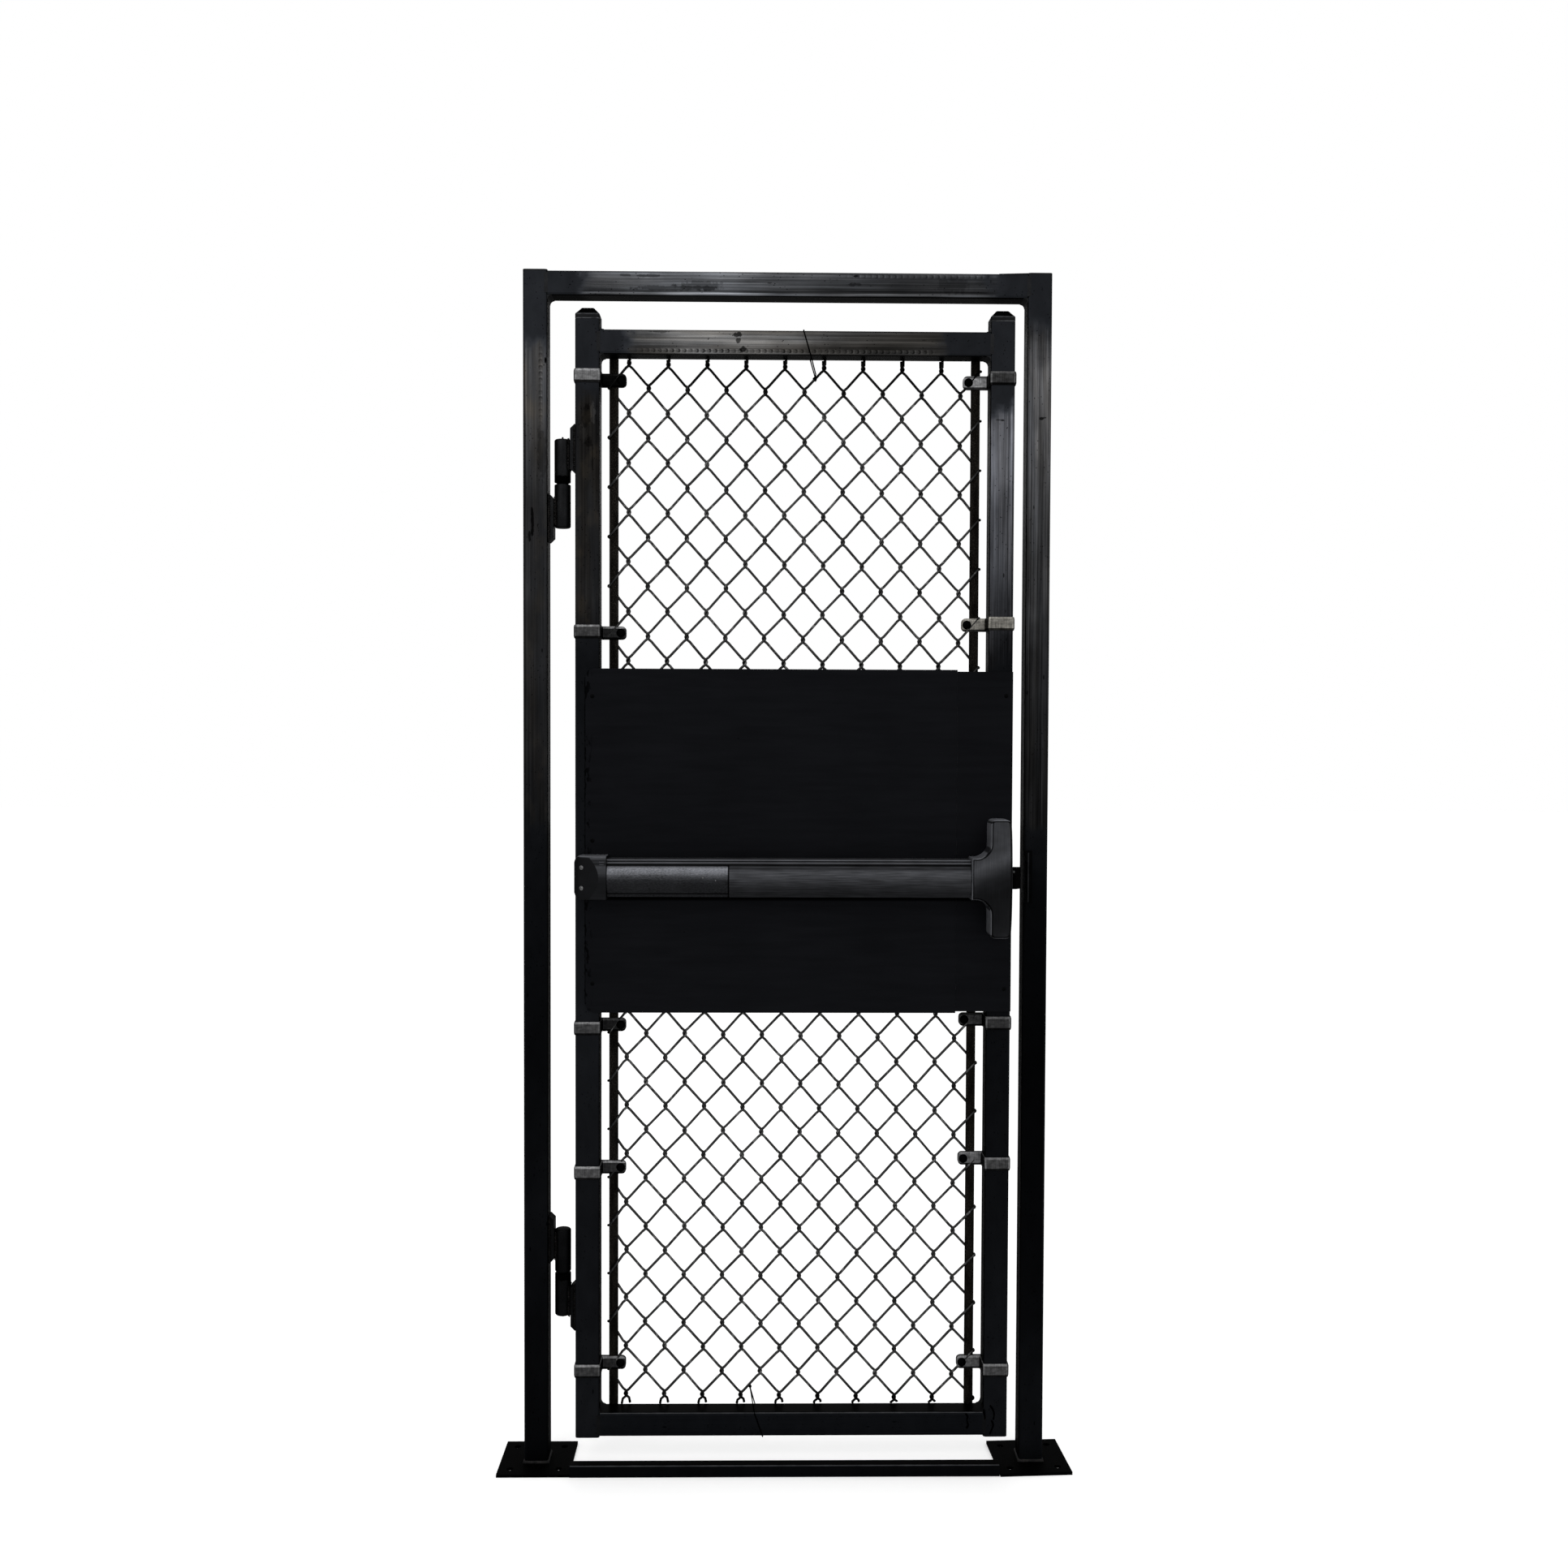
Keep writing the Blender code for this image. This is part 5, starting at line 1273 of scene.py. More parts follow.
@dataclass
class LeafFrame(Assembly):
    """The stiles with their caps, and the rails."""

    tube: float = 50.8 * MM
    flange: float = 11.0 * MM
    rise: float = 14.0 * MM
    corner: float = 5.0 * MM
    cap_gap: float = 0.3 * MM
    top_share: float = 0.5

    def build(self) -> None:
        """Dress the tubes, and add the caps, welds and paint runs."""
        self.stiles()
        self.rails()
        for stile in ("hinge_stile", "latch_stile"):
            self.cap(stile)
        self.welds()
        self.paint_runs()

    def stiles(self) -> None:
        """Dress the two stiles."""
        # Painted shade: besides the painted and bare zones, the stiles' zones are given darker
        # towards the bottom, as the light falls off
        self.dress(TubeSteel("hinge_stile_steel", zones(
            (0.0, 0.0092), (0.12, 0.0092), (0.3, 0.0066), (0.53, 0.0068), (0.9, 0.0092),
            (1.68, 0.005), (1.75, 0.0075), (1.85, 0.0125), (2.03, 0.011), (2.12, 0.0085),
            (2.2, 0.0062), (2.24, 0.0095), (2.27, 0.0125), (2.45, 0.0125)),
            across=spread((-25.4, 0.45), (-15.0, 0.4), (0.0, 0.36), (10.0, 0.42), (17.0, 0.52),
                          (19.0, 0.2), (25.4, 0.3)),
            centre=middle_of("hinge_stile")[0], bare=(1.76, 2.245), warmth=0.45, smudges=0.4,
            streaks=0.6, shift=20.0,
            stains=(Stain(0.1075, 2.207, 0.009, 0.027, 0.6),
                    Stain(0.112, 2.151, 0.009, 0.012, 0.55),
                    Stain(0.1195, 2.213, 0.0055, 0.024, -1.3),
                    Stain(0.1, 2.175, 0.008, 0.02, -0.7),
                    Stain(0.119, 2.118, 0.0022, 0.026, 0.5))), "hinge_stile")
        self.dress(TubeSteel("latch_stile_steel", zones(
            (0.0, 0.0075), (0.18, 0.0072), (0.53, 0.005), (0.9, 0.0042), (1.68, 0.0048),
            (1.73, 0.0058), (1.85, 0.03), (2.03, 0.068), (2.15, 0.108), (2.205, 0.09),
            (2.228, 0.03), (2.24, 0.0145), (2.45, 0.0135)),
            across=spread((-25.4, 0.14), (-23.0, 0.5), (-19.0, 0.34), (-12.0, 0.46), (-7.0, 0.34),
                          (-2.0, 0.46), (2.0, 0.36), (8.0, 0.46), (11.6, 0.42), (13.2, 0.16),
                          (14.9, 0.44), (18.0, 0.8), (20.5, 0.62), (22.2, 0.16), (24.0, 0.4),
                          (25.4, 0.15)),
            centre=middle_of("latch_stile")[0], slant=0.85, bare=(1.7, 2.222), warmth=0.1,
            tone=(0.96, 1.0, 1.14), shift=70.0,
            stains=(Stain(0.9705, 2.2035, 0.005, 0.0028, 0.85),
                    Stain(0.9625, 2.204, 0.006, 0.0018, 0.6))), "latch_stile")

    def rails(self) -> None:
        """Dress the two rails, and add the painted highlight along the lower one's upper front
        edge.
        """
        self.dress(TubeSteel("top_rail_steel", zones(
            (0.0, 0.0145), (0.178, 0.0145), (0.2, 0.028), (0.23, 0.041), (0.3, 0.092),
            (0.4, 0.106), (0.5, 0.067), (0.6, 0.031), (0.7, 0.02), (0.8, 0.0195), (0.84, 0.0165),
            (0.87, 0.0125), (1.1, 0.012)), along=Axis.X,
            across=spread((-25.4, 0.46), (-23.0, 0.56), (-21.0, 0.4), (-18.0, 0.24), (-16.0, 0.5),
                          (-13.0, 0.26), (-10.0, 0.24), (-6.0, 0.42), (0.0, 0.62), (3.0, 0.68),
                          (8.0, 0.48), (15.0, 0.58), (21.0, 0.6), (24.0, 0.3), (25.4, 0.2)),
            centre=middle_of("top_rail")[2], bare=(0.2, 0.85), warmth=0.35, tone=(0.99, 1.0, 1.02),
            shift=110.0,
            stains=(Stain(0.4185, 2.376, 0.0075, 0.0055, 0.85),
                    Stain(0.4215, 2.364, 0.005, 0.006, 0.8),
                    Stain(0.431, 2.346, 0.0075, 0.0055, 0.85),
                    Stain(0.26, 2.381, 0.02, 0.003, 0.6)),
            marks=(SeamMarks(0.19, 0.85, 2.3425, reach=4.4 * MM, depth=0.65),)), "top_rail")
        # Painted shade: the bottom rail's paint is given darker than the same paint higher up, as
        # it stands low
        self.dress(TubeSteel(
            "bottom_rail_steel", zones((0.0, 0.0058), (0.5, 0.006), (1.1, 0.0058)),
            along=Axis.X, streaks=0.1, warmth=0.0, tone=(0.9, 1.0, 1.2), shift=130.0),
            "bottom_rail")
        # Painted highlight along the bottom rail's upper front edge
        self.painted_highlight_edge("bottom_rail", Body.LEAF)

    def cap(self, stile: str) -> None:
        """Add the domed cap of a stile.

        Args:
            stile: the name of the stile's solid.
        """
        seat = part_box(stile)[1].z + self.cap_gap
        mesh = box((self.tube, self.tube, self.flange), (0.0, 0.0, self.flange / 2))
        rounded(mesh, along(mesh, Axis.Z), self.corner, 4)
        top = [face for face in mesh.faces if face.normal.z > 0.5]
        for lift, share in ((1.5 * MM, 0.93), (self.rise - 1.5 * MM, self.top_share / 0.93)):
            grown = bmesh.ops.extrude_face_region(mesh, geom=top)
            bmesh.ops.delete(mesh, geom=top, context="FACES_ONLY")
            raised = moved(grown)
            bmesh.ops.scale(mesh, vec=(share, share, 1.0), verts=raised)
            bmesh.ops.translate(mesh, vec=(0.0, 0.0, lift), verts=raised)
            top = new_faces(grown)
        rims = [edge for edge in mesh.edges if abs(edge.verts[0].co.z - edge.verts[1].co.z) <
                0.01 * MM and len(edge.link_faces) == 2 and edge.calc_face_angle() > 0.25]
        rounded(mesh, rims, 1.1 * MM, 2)
        shifted(mesh, (middle_of(stile)[0], 0.0, seat))
        self.add(stile + "_domed_cap", mesh, CapPaint(stile + "_cap_paint", level=0.009,
                                                      seat=seat), Body.LEAF, Slot.STEEL,
                 (stile + "_cap",))

    def welds(self) -> None:
        """Add the four corner welds of the leaf."""
        paint = PaintedSteel("leaf_weld_paint", level=0.0133)
        # Painted shade: the lower welds take the same paint, made darker as they stand low
        dark = PaintedSteel("low_weld_shaded_paint", level=0.0072)
        for rail, finish in (("top_rail", paint), ("bottom_rail", dark)):
            for stile, way in (("hinge_stile", 1), ("latch_stile", -1)):
                stile_low, stile_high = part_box(stile)
                inner = stile_high.x if way > 0 else stile_low.x
                joint = (inner, self.tube / 2, middle_of(rail)[2])
                folds = (-1, 1) if rail == "top_rail" else (1,)
                self.corner_weld(stile + "_" + rail + "_weld", joint, way, self.tube, folds,
                                 finish, Body.LEAF)

    def paint_runs(self) -> None:
        """Add the runs of thick paint over the weld at the leaf's lower latch corner."""
        front = -self.tube / 2 - 0.1 * MM
        shapes = (
            ((908.7, 110), (914.5, 105), (910.6, 95.8), (916.2, 84), (910.6, 78.8)),
            ((947, 118), (949.5, 109), (950, 98)),
            ((960.5, 127), (966, 122), (970.5, 107), (967.8, 97)),
            ((964, 95), (968.5, 88), (966, 78), (960.5, 66)),
        )
        runs = []
        for shape in shapes:
            runs.append([Bead((x * MM, front, z * MM), 1.0 + 0.35 * math.sin(2.1 * number))
                         for number, (x, z) in enumerate(shape)])
        self.add("leaf_paint_runs", swept(runs, 1.9 * MM, 6, True),
                 PaintedSteel("run_paint", level=0.0002, roughness=0.8, specular=0.0),
                 Body.LEAF, Slot.STEEL)


@dataclass
class HingePair(Assembly):
    """The upper and the lower barrel hinge."""

    radius: float = 16.975 * MM
    bore: float = 9.6 * MM
    length: float = 90.0 * MM
    bore_depth: float = 78.0 * MM
    centre_x: float = 53.975 * MM

    def build(self) -> None:
        """Dress the plates and pins, and add the barrels and their welds."""
        # Painted shade: the lower hinge takes the upper one's paint made darker, as less light
        # falls on it low down
        for prefix, level, leaf_side in (("upper_hinge", 0.0092, 1), ("lower_hinge", 0.004, -1)):
            paint = PaintedSteel(prefix + "_paint", level=level, roughness=0.42)
            low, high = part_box(prefix + "_leaf_barrel")
            greased = BarrelPaint(prefix + "_greased_paint", level=level, roughness=0.42,
                                  joint=low.z if leaf_side > 0 else high.z)
            self.dress(paint, prefix + "_frame_plate", prefix + "_leaf_plate")
            self.dress(PaintedSteel(prefix + "_pin_grease", level=0.0006, roughness=0.3),
                       prefix + "_pin")
            self.barrel(prefix + "_frame_barrel", Body.FRAME, -leaf_side, False, paint)
            self.barrel(prefix + "_leaf_barrel", Body.LEAF, leaf_side, True, greased)
            for owner, body, way in (("frame", Body.FRAME, -1), ("leaf", Body.LEAF, 1)):
                self.beads(prefix, owner, body, way, level)

    def barrel(self, solid: str, body: Body, side: int, greased: bool, finish: Finish) -> None:
        """Add one smooth barrel.

        Args:
            solid: the name of the solid that it stands for.
            body: the body that it rides on.
            side: 1 where it stands over the joint, -1 where it hangs under it.
            greased: whether it has a grease nipple.
            finish: its finish.
        """
        low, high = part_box(solid)
        start = low.z if side > 0 else high.z
        far, radius = self.length, self.radius
        profile = [(0.0, far), (radius - 3.4 * MM, far), (radius - 2.2 * MM, far - 0.4 * MM),
                   (radius - 0.4 * MM, far - 2.2 * MM), (radius, far - 3.6 * MM),
                   (radius, 1.6 * MM), (radius - 0.5 * MM, 0.5 * MM), (radius - 1.6 * MM, 0.0),
                   (self.bore, 0.0), (self.bore, self.bore_depth), (0.0, self.bore_depth)]
        if greased:
            profile = [(0.0, far + 5.4 * MM), (1.3 * MM, far + 5.4 * MM),
                       (2.1 * MM, far + 4.4 * MM), (1.5 * MM, far + 3.2 * MM),
                       (3.0 * MM, far + 2.2 * MM), (3.2 * MM, far)] + profile[1:]
        mesh = turned(profile, (self.centre_x, 0.0, start), Axis.Z, side < 0, 48)
        self.add(solid + "_turned", mesh, finish, body, Slot.STEEL, (solid,))

    def beads(self, prefix: str, owner: str, body: Body, way: int, level: float) -> None:
        """Add the weld runs that hold one plate to its barrel and to its tube.

        Args:
            prefix: the name of the hinge.
            owner: "frame" or "leaf".
            body: the body that they ride on.
            way: 1 where the tube is on the +X side of the plate.
            level: how bright the paint is.
        """
        low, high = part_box("%s_%s_plate" % (prefix, owner))
        barrel_low, barrel_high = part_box("%s_%s_barrel" % (prefix, owner))
        tube_x = high.x if way > 0 else low.x
        groove_x = low.x - 3.4 * MM if way > 0 else high.x + 3.4 * MM
        bottom = max(low.z, barrel_low.z) + 5.0 * MM
        top = min(high.z, barrel_high.z) - 5.0 * MM
        runs = []
        for side in (-1, 1):
            runs.append(weld_run((groove_x, side * 13.2 * MM, bottom),
                                 (groove_x, side * 13.2 * MM, top)))
            edge_y = side * (high.y + 0.4 * MM)
            runs.append(weld_run((tube_x - way * 1.2 * MM, edge_y, low.z + 3.0 * MM),
                                 (tube_x - way * 1.2 * MM, edge_y, high.z - 3.0 * MM), 4.2 * MM))
        self.add("%s_%s_weld" % (prefix, owner), swept(runs, 3.2 * MM),
                 WeldMetal(prefix + "_weld_metal", level=level * 0.8), body, Slot.STEEL)


@dataclass
class WovenFabric(Assembly):
    """The chain link fabric, woven of flattened spirals that hook into each other and go round
    the tension bars at both sides."""

    pickets: int = 19
    wire: float = 2.75 * MM
    depth: float = 2.7 * MM
    loop_depth: float = 5.0 * MM
    bend_half: float = 10.3 * MM
    bend_reach: float = 6.5 * MM
    stub_gap: float = 1.7 * MM
    first_row: float = 2274.0 * MM
    row_drop: float = 12.5 * MM
    lean: float = 3.6 * MM
    lean_height: float = 1.36
    pinch_reach: float = 42.0 * MM
    pinch_depth: float = 3.2 * MM
    upper_pitch: float = 103.9 * MM
    middle_pitch: float = 105.6 * MM
    lower_pitch: float = 103.6 * MM
    last_row: int = 42
    upper_rows: float = 5.5
    middle_rows: float = 7.0
    level_share: float = 0.105
    band_heights: dict = field(default_factory=dict)

    def build(self) -> None:
        """Add the fabric in place of its flat solid, and dress the bars."""
        bar_low, bar_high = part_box("hinge_side_tension_bar")
        latch_low, latch_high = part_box("latch_side_tension_bar")
        fabric_low, fabric_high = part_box("chain_link_fabric")
        self.left, self.right = bar_low.x, latch_high.x
        self.bar_width = bar_high.x - bar_low.x
        self.middle = (bar_low.y + bar_high.y) / 2
        self.bottom, self.top = fabric_low.z, fabric_high.z
        for side in ("hinge", "latch"):
            self.band_heights[side] = [middle_of("%s_side_band_%d" % (side, number))[2]
                                       for number in range(1, 6)]
        runs = [self.picket(number) for number in range(self.pickets)]
        self.add("woven_chain_link", swept(runs, self.wire, 8),
                 CoatedWire("fabric_coating", level=0.03, scuff=0.09), Body.LEAF, Slot.WIRE,
                 ("chain_link_fabric",), 60.0)
        bar = BarMetal("bar_metal")
        self.dress(bar, "hinge_side_tension_bar", "latch_side_tension_bar")
        rail_under, rail_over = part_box("top_rail")[0].z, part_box("bottom_rail")[1].z
        ends = []
        for low, high in ((bar_low, bar_high), (latch_low, latch_high)):
            for start, end in ((high.z, rail_under), (rail_over, low.z)):
                tip = box((high.x - low.x, high.y - low.y, end - start + 0.4 * MM),
                          ((low.x + high.x) / 2, (low.y + high.y) / 2, (start + end) / 2))
                ends.append(rounded(tip, along(tip, Axis.Z), 0.8 * MM, 2))
        self.add("tension_bar_ends", joined(ends), bar, Body.LEAF, Slot.BAR)

    def row_height(self, half_row: int) -> float:
        """Return the height of a half row, counted down from the top."""
        rows = (half_row - 1) / 2
        upper = min(rows, self.upper_rows)
        centre = min(max(rows - self.upper_rows, 0.0), self.middle_rows)
        lower = max(rows - self.upper_rows - self.middle_rows, 0.0)
        return (self.first_row - upper * self.upper_pitch - centre * self.middle_pitch
                - lower * self.lower_pitch)

    def knuckle(self, column: int, half_row: int) -> tuple[float, float]:
        """Return a knuckle's place along X and its height, from its column and half row."""
        share = column / self.pickets
        height = self.row_height(half_row) - (share - self.level_share) * self.row_drop
        place = self.left + (self.right - self.left) * share
        if 0 < column < self.pickets:
            place -= self.lean * (self.first_row - height) / self.lean_height
            place += 0.5 * MM * math.sin(2.7 * column + 1.9 * half_row)
            height += 0.8 * MM * math.sin(1.7 * column - 2.3 * half_row)
        return place, height

    def bend(self, column: int, half_row: int, outward: int) -> list[Bead]:
        """Return the points of one bend, from its upper to its lower leg.

        Args:
            column: the column of the knuckle.
            half_row: its half row.
            outward: 1 where the wire turns back at its right side, -1 at its left.

        Returns:
            The beads of the bend.
        """
        place, height = self.knuckle(column, half_row)
        if column in (0, self.pickets):
            return self.loop(column, half_row, outward)
        shape = ((-self.bend_reach, self.bend_half, 1.0), (-1.2 * MM, 6.0 * MM, 0.95),
                 (1.7 * MM, 2.9 * MM, 0.62), (2.5 * MM, 0.0, 0.0),
                 (1.7 * MM, -2.9 * MM, -0.62), (-1.2 * MM, -6.0 * MM, -0.95),
                 (-self.bend_reach, -self.bend_half, -1.0))
        return [Bead((place + outward * x, self.middle + outward * y * self.depth,
                      height + z)) for x, z, y in shape]

    def loop(self, column: int, half_row: int, outward: int) -> list[Bead]:
        """Return the points of one turn round a tension bar.

        Args:
            column: the column of the bar, first or last.
            half_row: the half row of the turn.
            outward: 1 at the latch side, -1 at the hinge side.

        Returns:
            The beads of the turn, from its upper to its lower leg.
        """
        place, height = self.knuckle(column, half_row)
        side = "latch" if outward > 0 else "hinge"
        pinched = any(abs(height - band) < self.pinch_reach
                      for band in self.band_heights[side])
        depth = self.pinch_depth if pinched else self.loop_depth
        width = self.bar_width
        shape = ((width + 6.0 * MM, 0.7), (width - 1.0 * MM, 1.0), (1.2 * MM, 1.0))
        turn = [(-1.4 * MM, 0.8 * MM, 0.6), (-2.0 * MM, 0.0, 0.0), (-1.4 * MM, -0.8 * MM, -0.6)]
        legs = []
        for way in (1, -1):
            next_x, next_z = self.knuckle(column - outward, half_row - way)
            slope = (next_z - way * self.bend_half - height) / (
                outward * (place - next_x) - self.bend_reach)
            legs.append([(inward, inward * slope, way * share) for inward, share in shape])
        points = legs[0] + turn + legs[1][::-1]
        return [Bead((place - outward * inward, self.middle + outward * share * depth,
                      height + rise)) for inward, rise, share in points]

    def picket(self, number: int) -> list[Bead]:
        """Return the whole zigzag of one picket, from the top rail to the bottom rail.

        Args:
            number: its number, from the hinge side.

        Returns:
            The beads of the picket.
        """
        run: list[Bead] = []
        for half_row in range(self.last_row + 1):
            outward = -1 if (number + half_row) % 2 else 1
            column = number if outward < 0 else number + 1
            beads = self.bend(column, half_row, outward)
            if half_row == 0:
                place = self.knuckle(column, half_row)[0] - outward * self.stub_gap
                upper = beads[1].spot
                beads = [Bead((place, upper[1], self.top), 1.1),
                         Bead((place, upper[1], upper[2] + 1.0 * MM), 1.1)] + beads[2:]
            if half_row == self.last_row:
                lower = beads[-1].spot
                drop = max(lower[2] - self.bottom - 0.8 * MM, 0.5 * MM)
                end = (lower[0] - outward * drop * 0.2, lower[1], lower[2] - drop)
                beads = beads + [Bead(end)]
            run += beads
        return run


@dataclass
class TensionBands(Assembly):
    """The ten straps that hold the tension bars, with their bolts."""

    thickness: float = 2.7 * MM
    height: float = 28.0 * MM
    reach: float = 25.7 * MM
    ear_end: float = 77.4 * MM
    bend: float = 4.0 * MM
    rim: float = 4.6 * MM
    rim_share: float = 0.56
    ear_corner: float = 9.0 * MM
    bolt_place: float = 66.2 * MM
    head_radius: float = 9.3 * MM

    def build(self) -> None:
        """Replace each strap, and add its bolt."""
        bolt = PaintedSteel("band_bolt_paint", level=0.0012, roughness=0.45)
        # The face, its painted highlight on the upper rim, its ends painted as highlights along the
        # bends, the ear and the painted highlight on the ear's upper rim. The levels hold real wear
        # that differs from band to band, and painted light: the latch side's ears are painted light
        # and the hinge side's ears dark, as they catch the light differently.
        looks = {
            Side.HINGE: ((0.042, 0.18, 0.06, 0.024, 0.17), (0.072, 0.24, 0.09, 0.028, 0.2),
                         (0.048, 0.14, 0.07, 0.014, 0.06), (0.038, 0.12, 0.06, 0.016, 0.13),
                         (0.105, 0.19, 0.18, 0.002, 0.008)),
            Side.LATCH: ((0.06, 0.15, 0.11, 0.1, 0.2), (0.048, 0.13, 0.13, 0.12, 0.15),
                         (0.03, 0.08, 0.09, 0.04, 0.02), (0.15, 0.2, 0.24, 0.2, 0.22),
                         (0.026, 0.07, 0.11, 0.24, 0.14)),
        }
        for side, stile in ((Side.HINGE, "hinge"), (Side.LATCH, "latch")):
            for number, levels in enumerate(looks[side], 1):
                solid = "%s_side_band_%d" % (stile, number)
                warm = side is Side.LATCH and number == 4
                tone = (1.04, 1.0, 0.9) if warm else (1.0, 1.0, 1.02)
                finish = StrapMetal("%s_side_strap_metal_%d" % (stile, number), *levels, tone,
                                    7.0 * number + side.value)
                self.strap(solid, stile + "_stile", side, finish)
                self.bolt(solid, stile + "_stile", side, bolt)

    def strap(self, solid: str, stile: str, side: Side, finish: Finish) -> None:
        """Add one strap.

        Args:
            solid: the solid that it stands for.
            stile: the stile that it wraps.
            side: its side of the leaf.
            finish: its finish.
        """
        centre_x, centre_z = middle_of(stile)[0], middle_of(solid)[2]
        front_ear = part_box("hinge_side_tension_bar")[0].y - 0.3 * MM
        reach, end = self.reach, self.ear_end
        corners = [(end, reach), (-reach, reach), (-reach, -reach), (reach, -reach),
                   (reach, front_ear), (end, front_ear)]
        path = self.path([(side.value * x, y) for x, y in corners])
        mesh = bmesh.new()
        lower = [mesh.verts.new((x, y, -self.height / 2)) for x, y in path]
        edges = [mesh.edges.new(pair) for pair in zip(lower, lower[1:])]
        raised = moved(bmesh.ops.extrude_edge_only(mesh, edges=edges))
        bmesh.ops.translate(mesh, vec=(0.0, 0.0, self.height), verts=raised)
        bmesh.ops.recalc_face_normals(mesh, faces=mesh.faces)
        tips = [vert for vert in mesh.verts if abs(abs(vert.co.x) - end) < 0.3 * MM]
        bmesh.ops.bevel(mesh, geom=tips, offset=self.ear_corner, segments=6, profile=0.5,
                        affect="VERTICES", clamp_overlap=True, material=-1)
        for level in (-1, 1):
            sliced(mesh, Axis.Z, level * (self.height / 2 - self.rim))
        front = min(mesh.faces, key=lambda face: face.calc_center_median().y)
        if front.normal.y > 0.0:
            bmesh.ops.reverse_faces(mesh, faces=mesh.faces)
        mesh = pressed(mesh, self.thickness, self.height / 2, self.rim, self.rim_share)
        shifted(mesh, (centre_x, 0.0, centre_z))
        self.add(solid + "_strap", mesh, finish, Body.LEAF, Slot.BAND, (solid,), 10.0)

    def path(self, corners: Sequence[tuple[float, float]]) -> list[tuple[float, float]]:
        """Return a plan path through corners, with each inner one rounded."""
        points = [corners[0]]
        for before, corner, after in zip(corners, corners[1:], corners[2:]):
            spot = Vector(corner)
            into = (Vector(before) - spot).normalized()
            out = (Vector(after) - spot).normalized()
            centre = spot + (into + out) * self.bend
            for step in range(11):
                turn = (math.pi / 2) * step / 10
                rim = centre - out * self.bend * math.cos(turn) - into * self.bend * math.sin(turn)
                points.append((rim.x, rim.y))
        points.append(corners[-1])
        return points

    def bolt(self, solid: str, stile: str, side: Side, finish: Finish) -> None:
        """Add the round headed bolt of one strap, with its nut behind.

        Args:
            solid: the strap's solid.
            stile: the stile that it wraps.
            side: its side of the leaf.
            finish: its finish.
        """
        centre_x = middle_of(stile)[0] + side.value * self.bolt_place
        centre_z = middle_of(solid)[2]
        bar_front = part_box("hinge_side_tension_bar")[0].y
        face = bar_front - 0.3 * MM - self.thickness
        radius = self.head_radius
        dome = [(0.0, 4.6 * MM), (2.8 * MM, 4.4 * MM), (5.4 * MM, 3.7 * MM),
                (7.4 * MM, 2.4 * MM), (radius, 0.7 * MM), (radius, -0.2 * MM), (0.0, -0.2 * MM)]
        head = turned(dome, (centre_x, face, centre_z), Axis.Y, False, 28)
        back = self.reach + self.thickness
        nut = bmesh.new()
        bmesh.ops.create_cone(nut, cap_ends=True, segments=6, radius1=7.6 * MM, radius2=7.6 * MM,
                              depth=6.0 * MM)
        rounded(nut, nut.edges, 0.5 * MM, 1)
        place = Matrix.Translation((centre_x, back + 3.0 * MM, centre_z))
        bmesh.ops.transform(nut, matrix=place @ Matrix.Rotation(math.pi / 2, 4, "X"),
                            verts=nut.verts)
        stud = [(0.0, 9.0 * MM), (3.0 * MM, 9.0 * MM), (3.9 * MM, 8.1 * MM), (3.9 * MM, 0.0),
                (0.0, 0.0)]
        shank = turned(stud, (centre_x, back, centre_z), Axis.Y, True, 20)
        self.add(solid + "_bolt", joined((head, nut, shank)), finish, Body.LEAF, Slot.BAND)


@dataclass
class Panels(Assembly):
    """The sheets behind the exit device, with their screws and edge bead."""

    screw_x: float = 119.0 * MM
    screw_heights: tuple[float, ...] = (1.025, 1.325, 1.626)

    def build(self) -> None:
        """Dress the sheets, and add the screws and the bead."""
        self.dress(SheetPaint("centre_panel_paint"), "centre_panel")
        self.dress(SheetPaint("lock_panel_paint", level=0.0054), "lock_panel")
        low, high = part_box("centre_panel")
        lock_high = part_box("lock_panel")[1]
        dark = PaintedSteel("panel_screw_paint", level=0.0025, roughness=0.35)
        heads = []
        places = [(self.screw_x, z) for z in self.screw_heights]
        places += [(lock_high.x - 14.0 * MM, z) for z in (1.015, 1.63)]
        for x, z in places:
            profile = [(0.0, 0.5 * MM), (1.5 * MM, 0.5 * MM), (1.8 * MM, 1.3 * MM),
                       (3.2 * MM, 1.2 * MM), (4.2 * MM, 0.6 * MM), (4.4 * MM, -0.2 * MM),
                       (0.0, -0.2 * MM)]
            heads.append(turned(profile, (x, low.y, z), Axis.Y, False, 24))
        self.add("panel_screws", joined(heads), dark, Body.LEAF, Slot.PANEL)
        run = []
        count = 150
        for step in range(count + 1):
            sway = math.sin(step * 1.7) + math.sin(step * 0.63 + 1.0) + math.sin(step * 3.1)
            height = low.z + 18.0 * MM + (high.z - low.z - 36.0 * MM) * step / count
            run.append(Bead((low.x - 0.4 * MM + 0.35 * MM * sway, high.y - 0.6 * MM, height),
                            1.0 + 0.2 * math.sin(step * 2.3)))
        self.add("panel_edge_bead", swept([run], 1.5 * MM, 6),
                 PaintedSteel("panel_bead_paint", level=0.002, roughness=0.6), Body.LEAF,
                 Slot.PANEL)


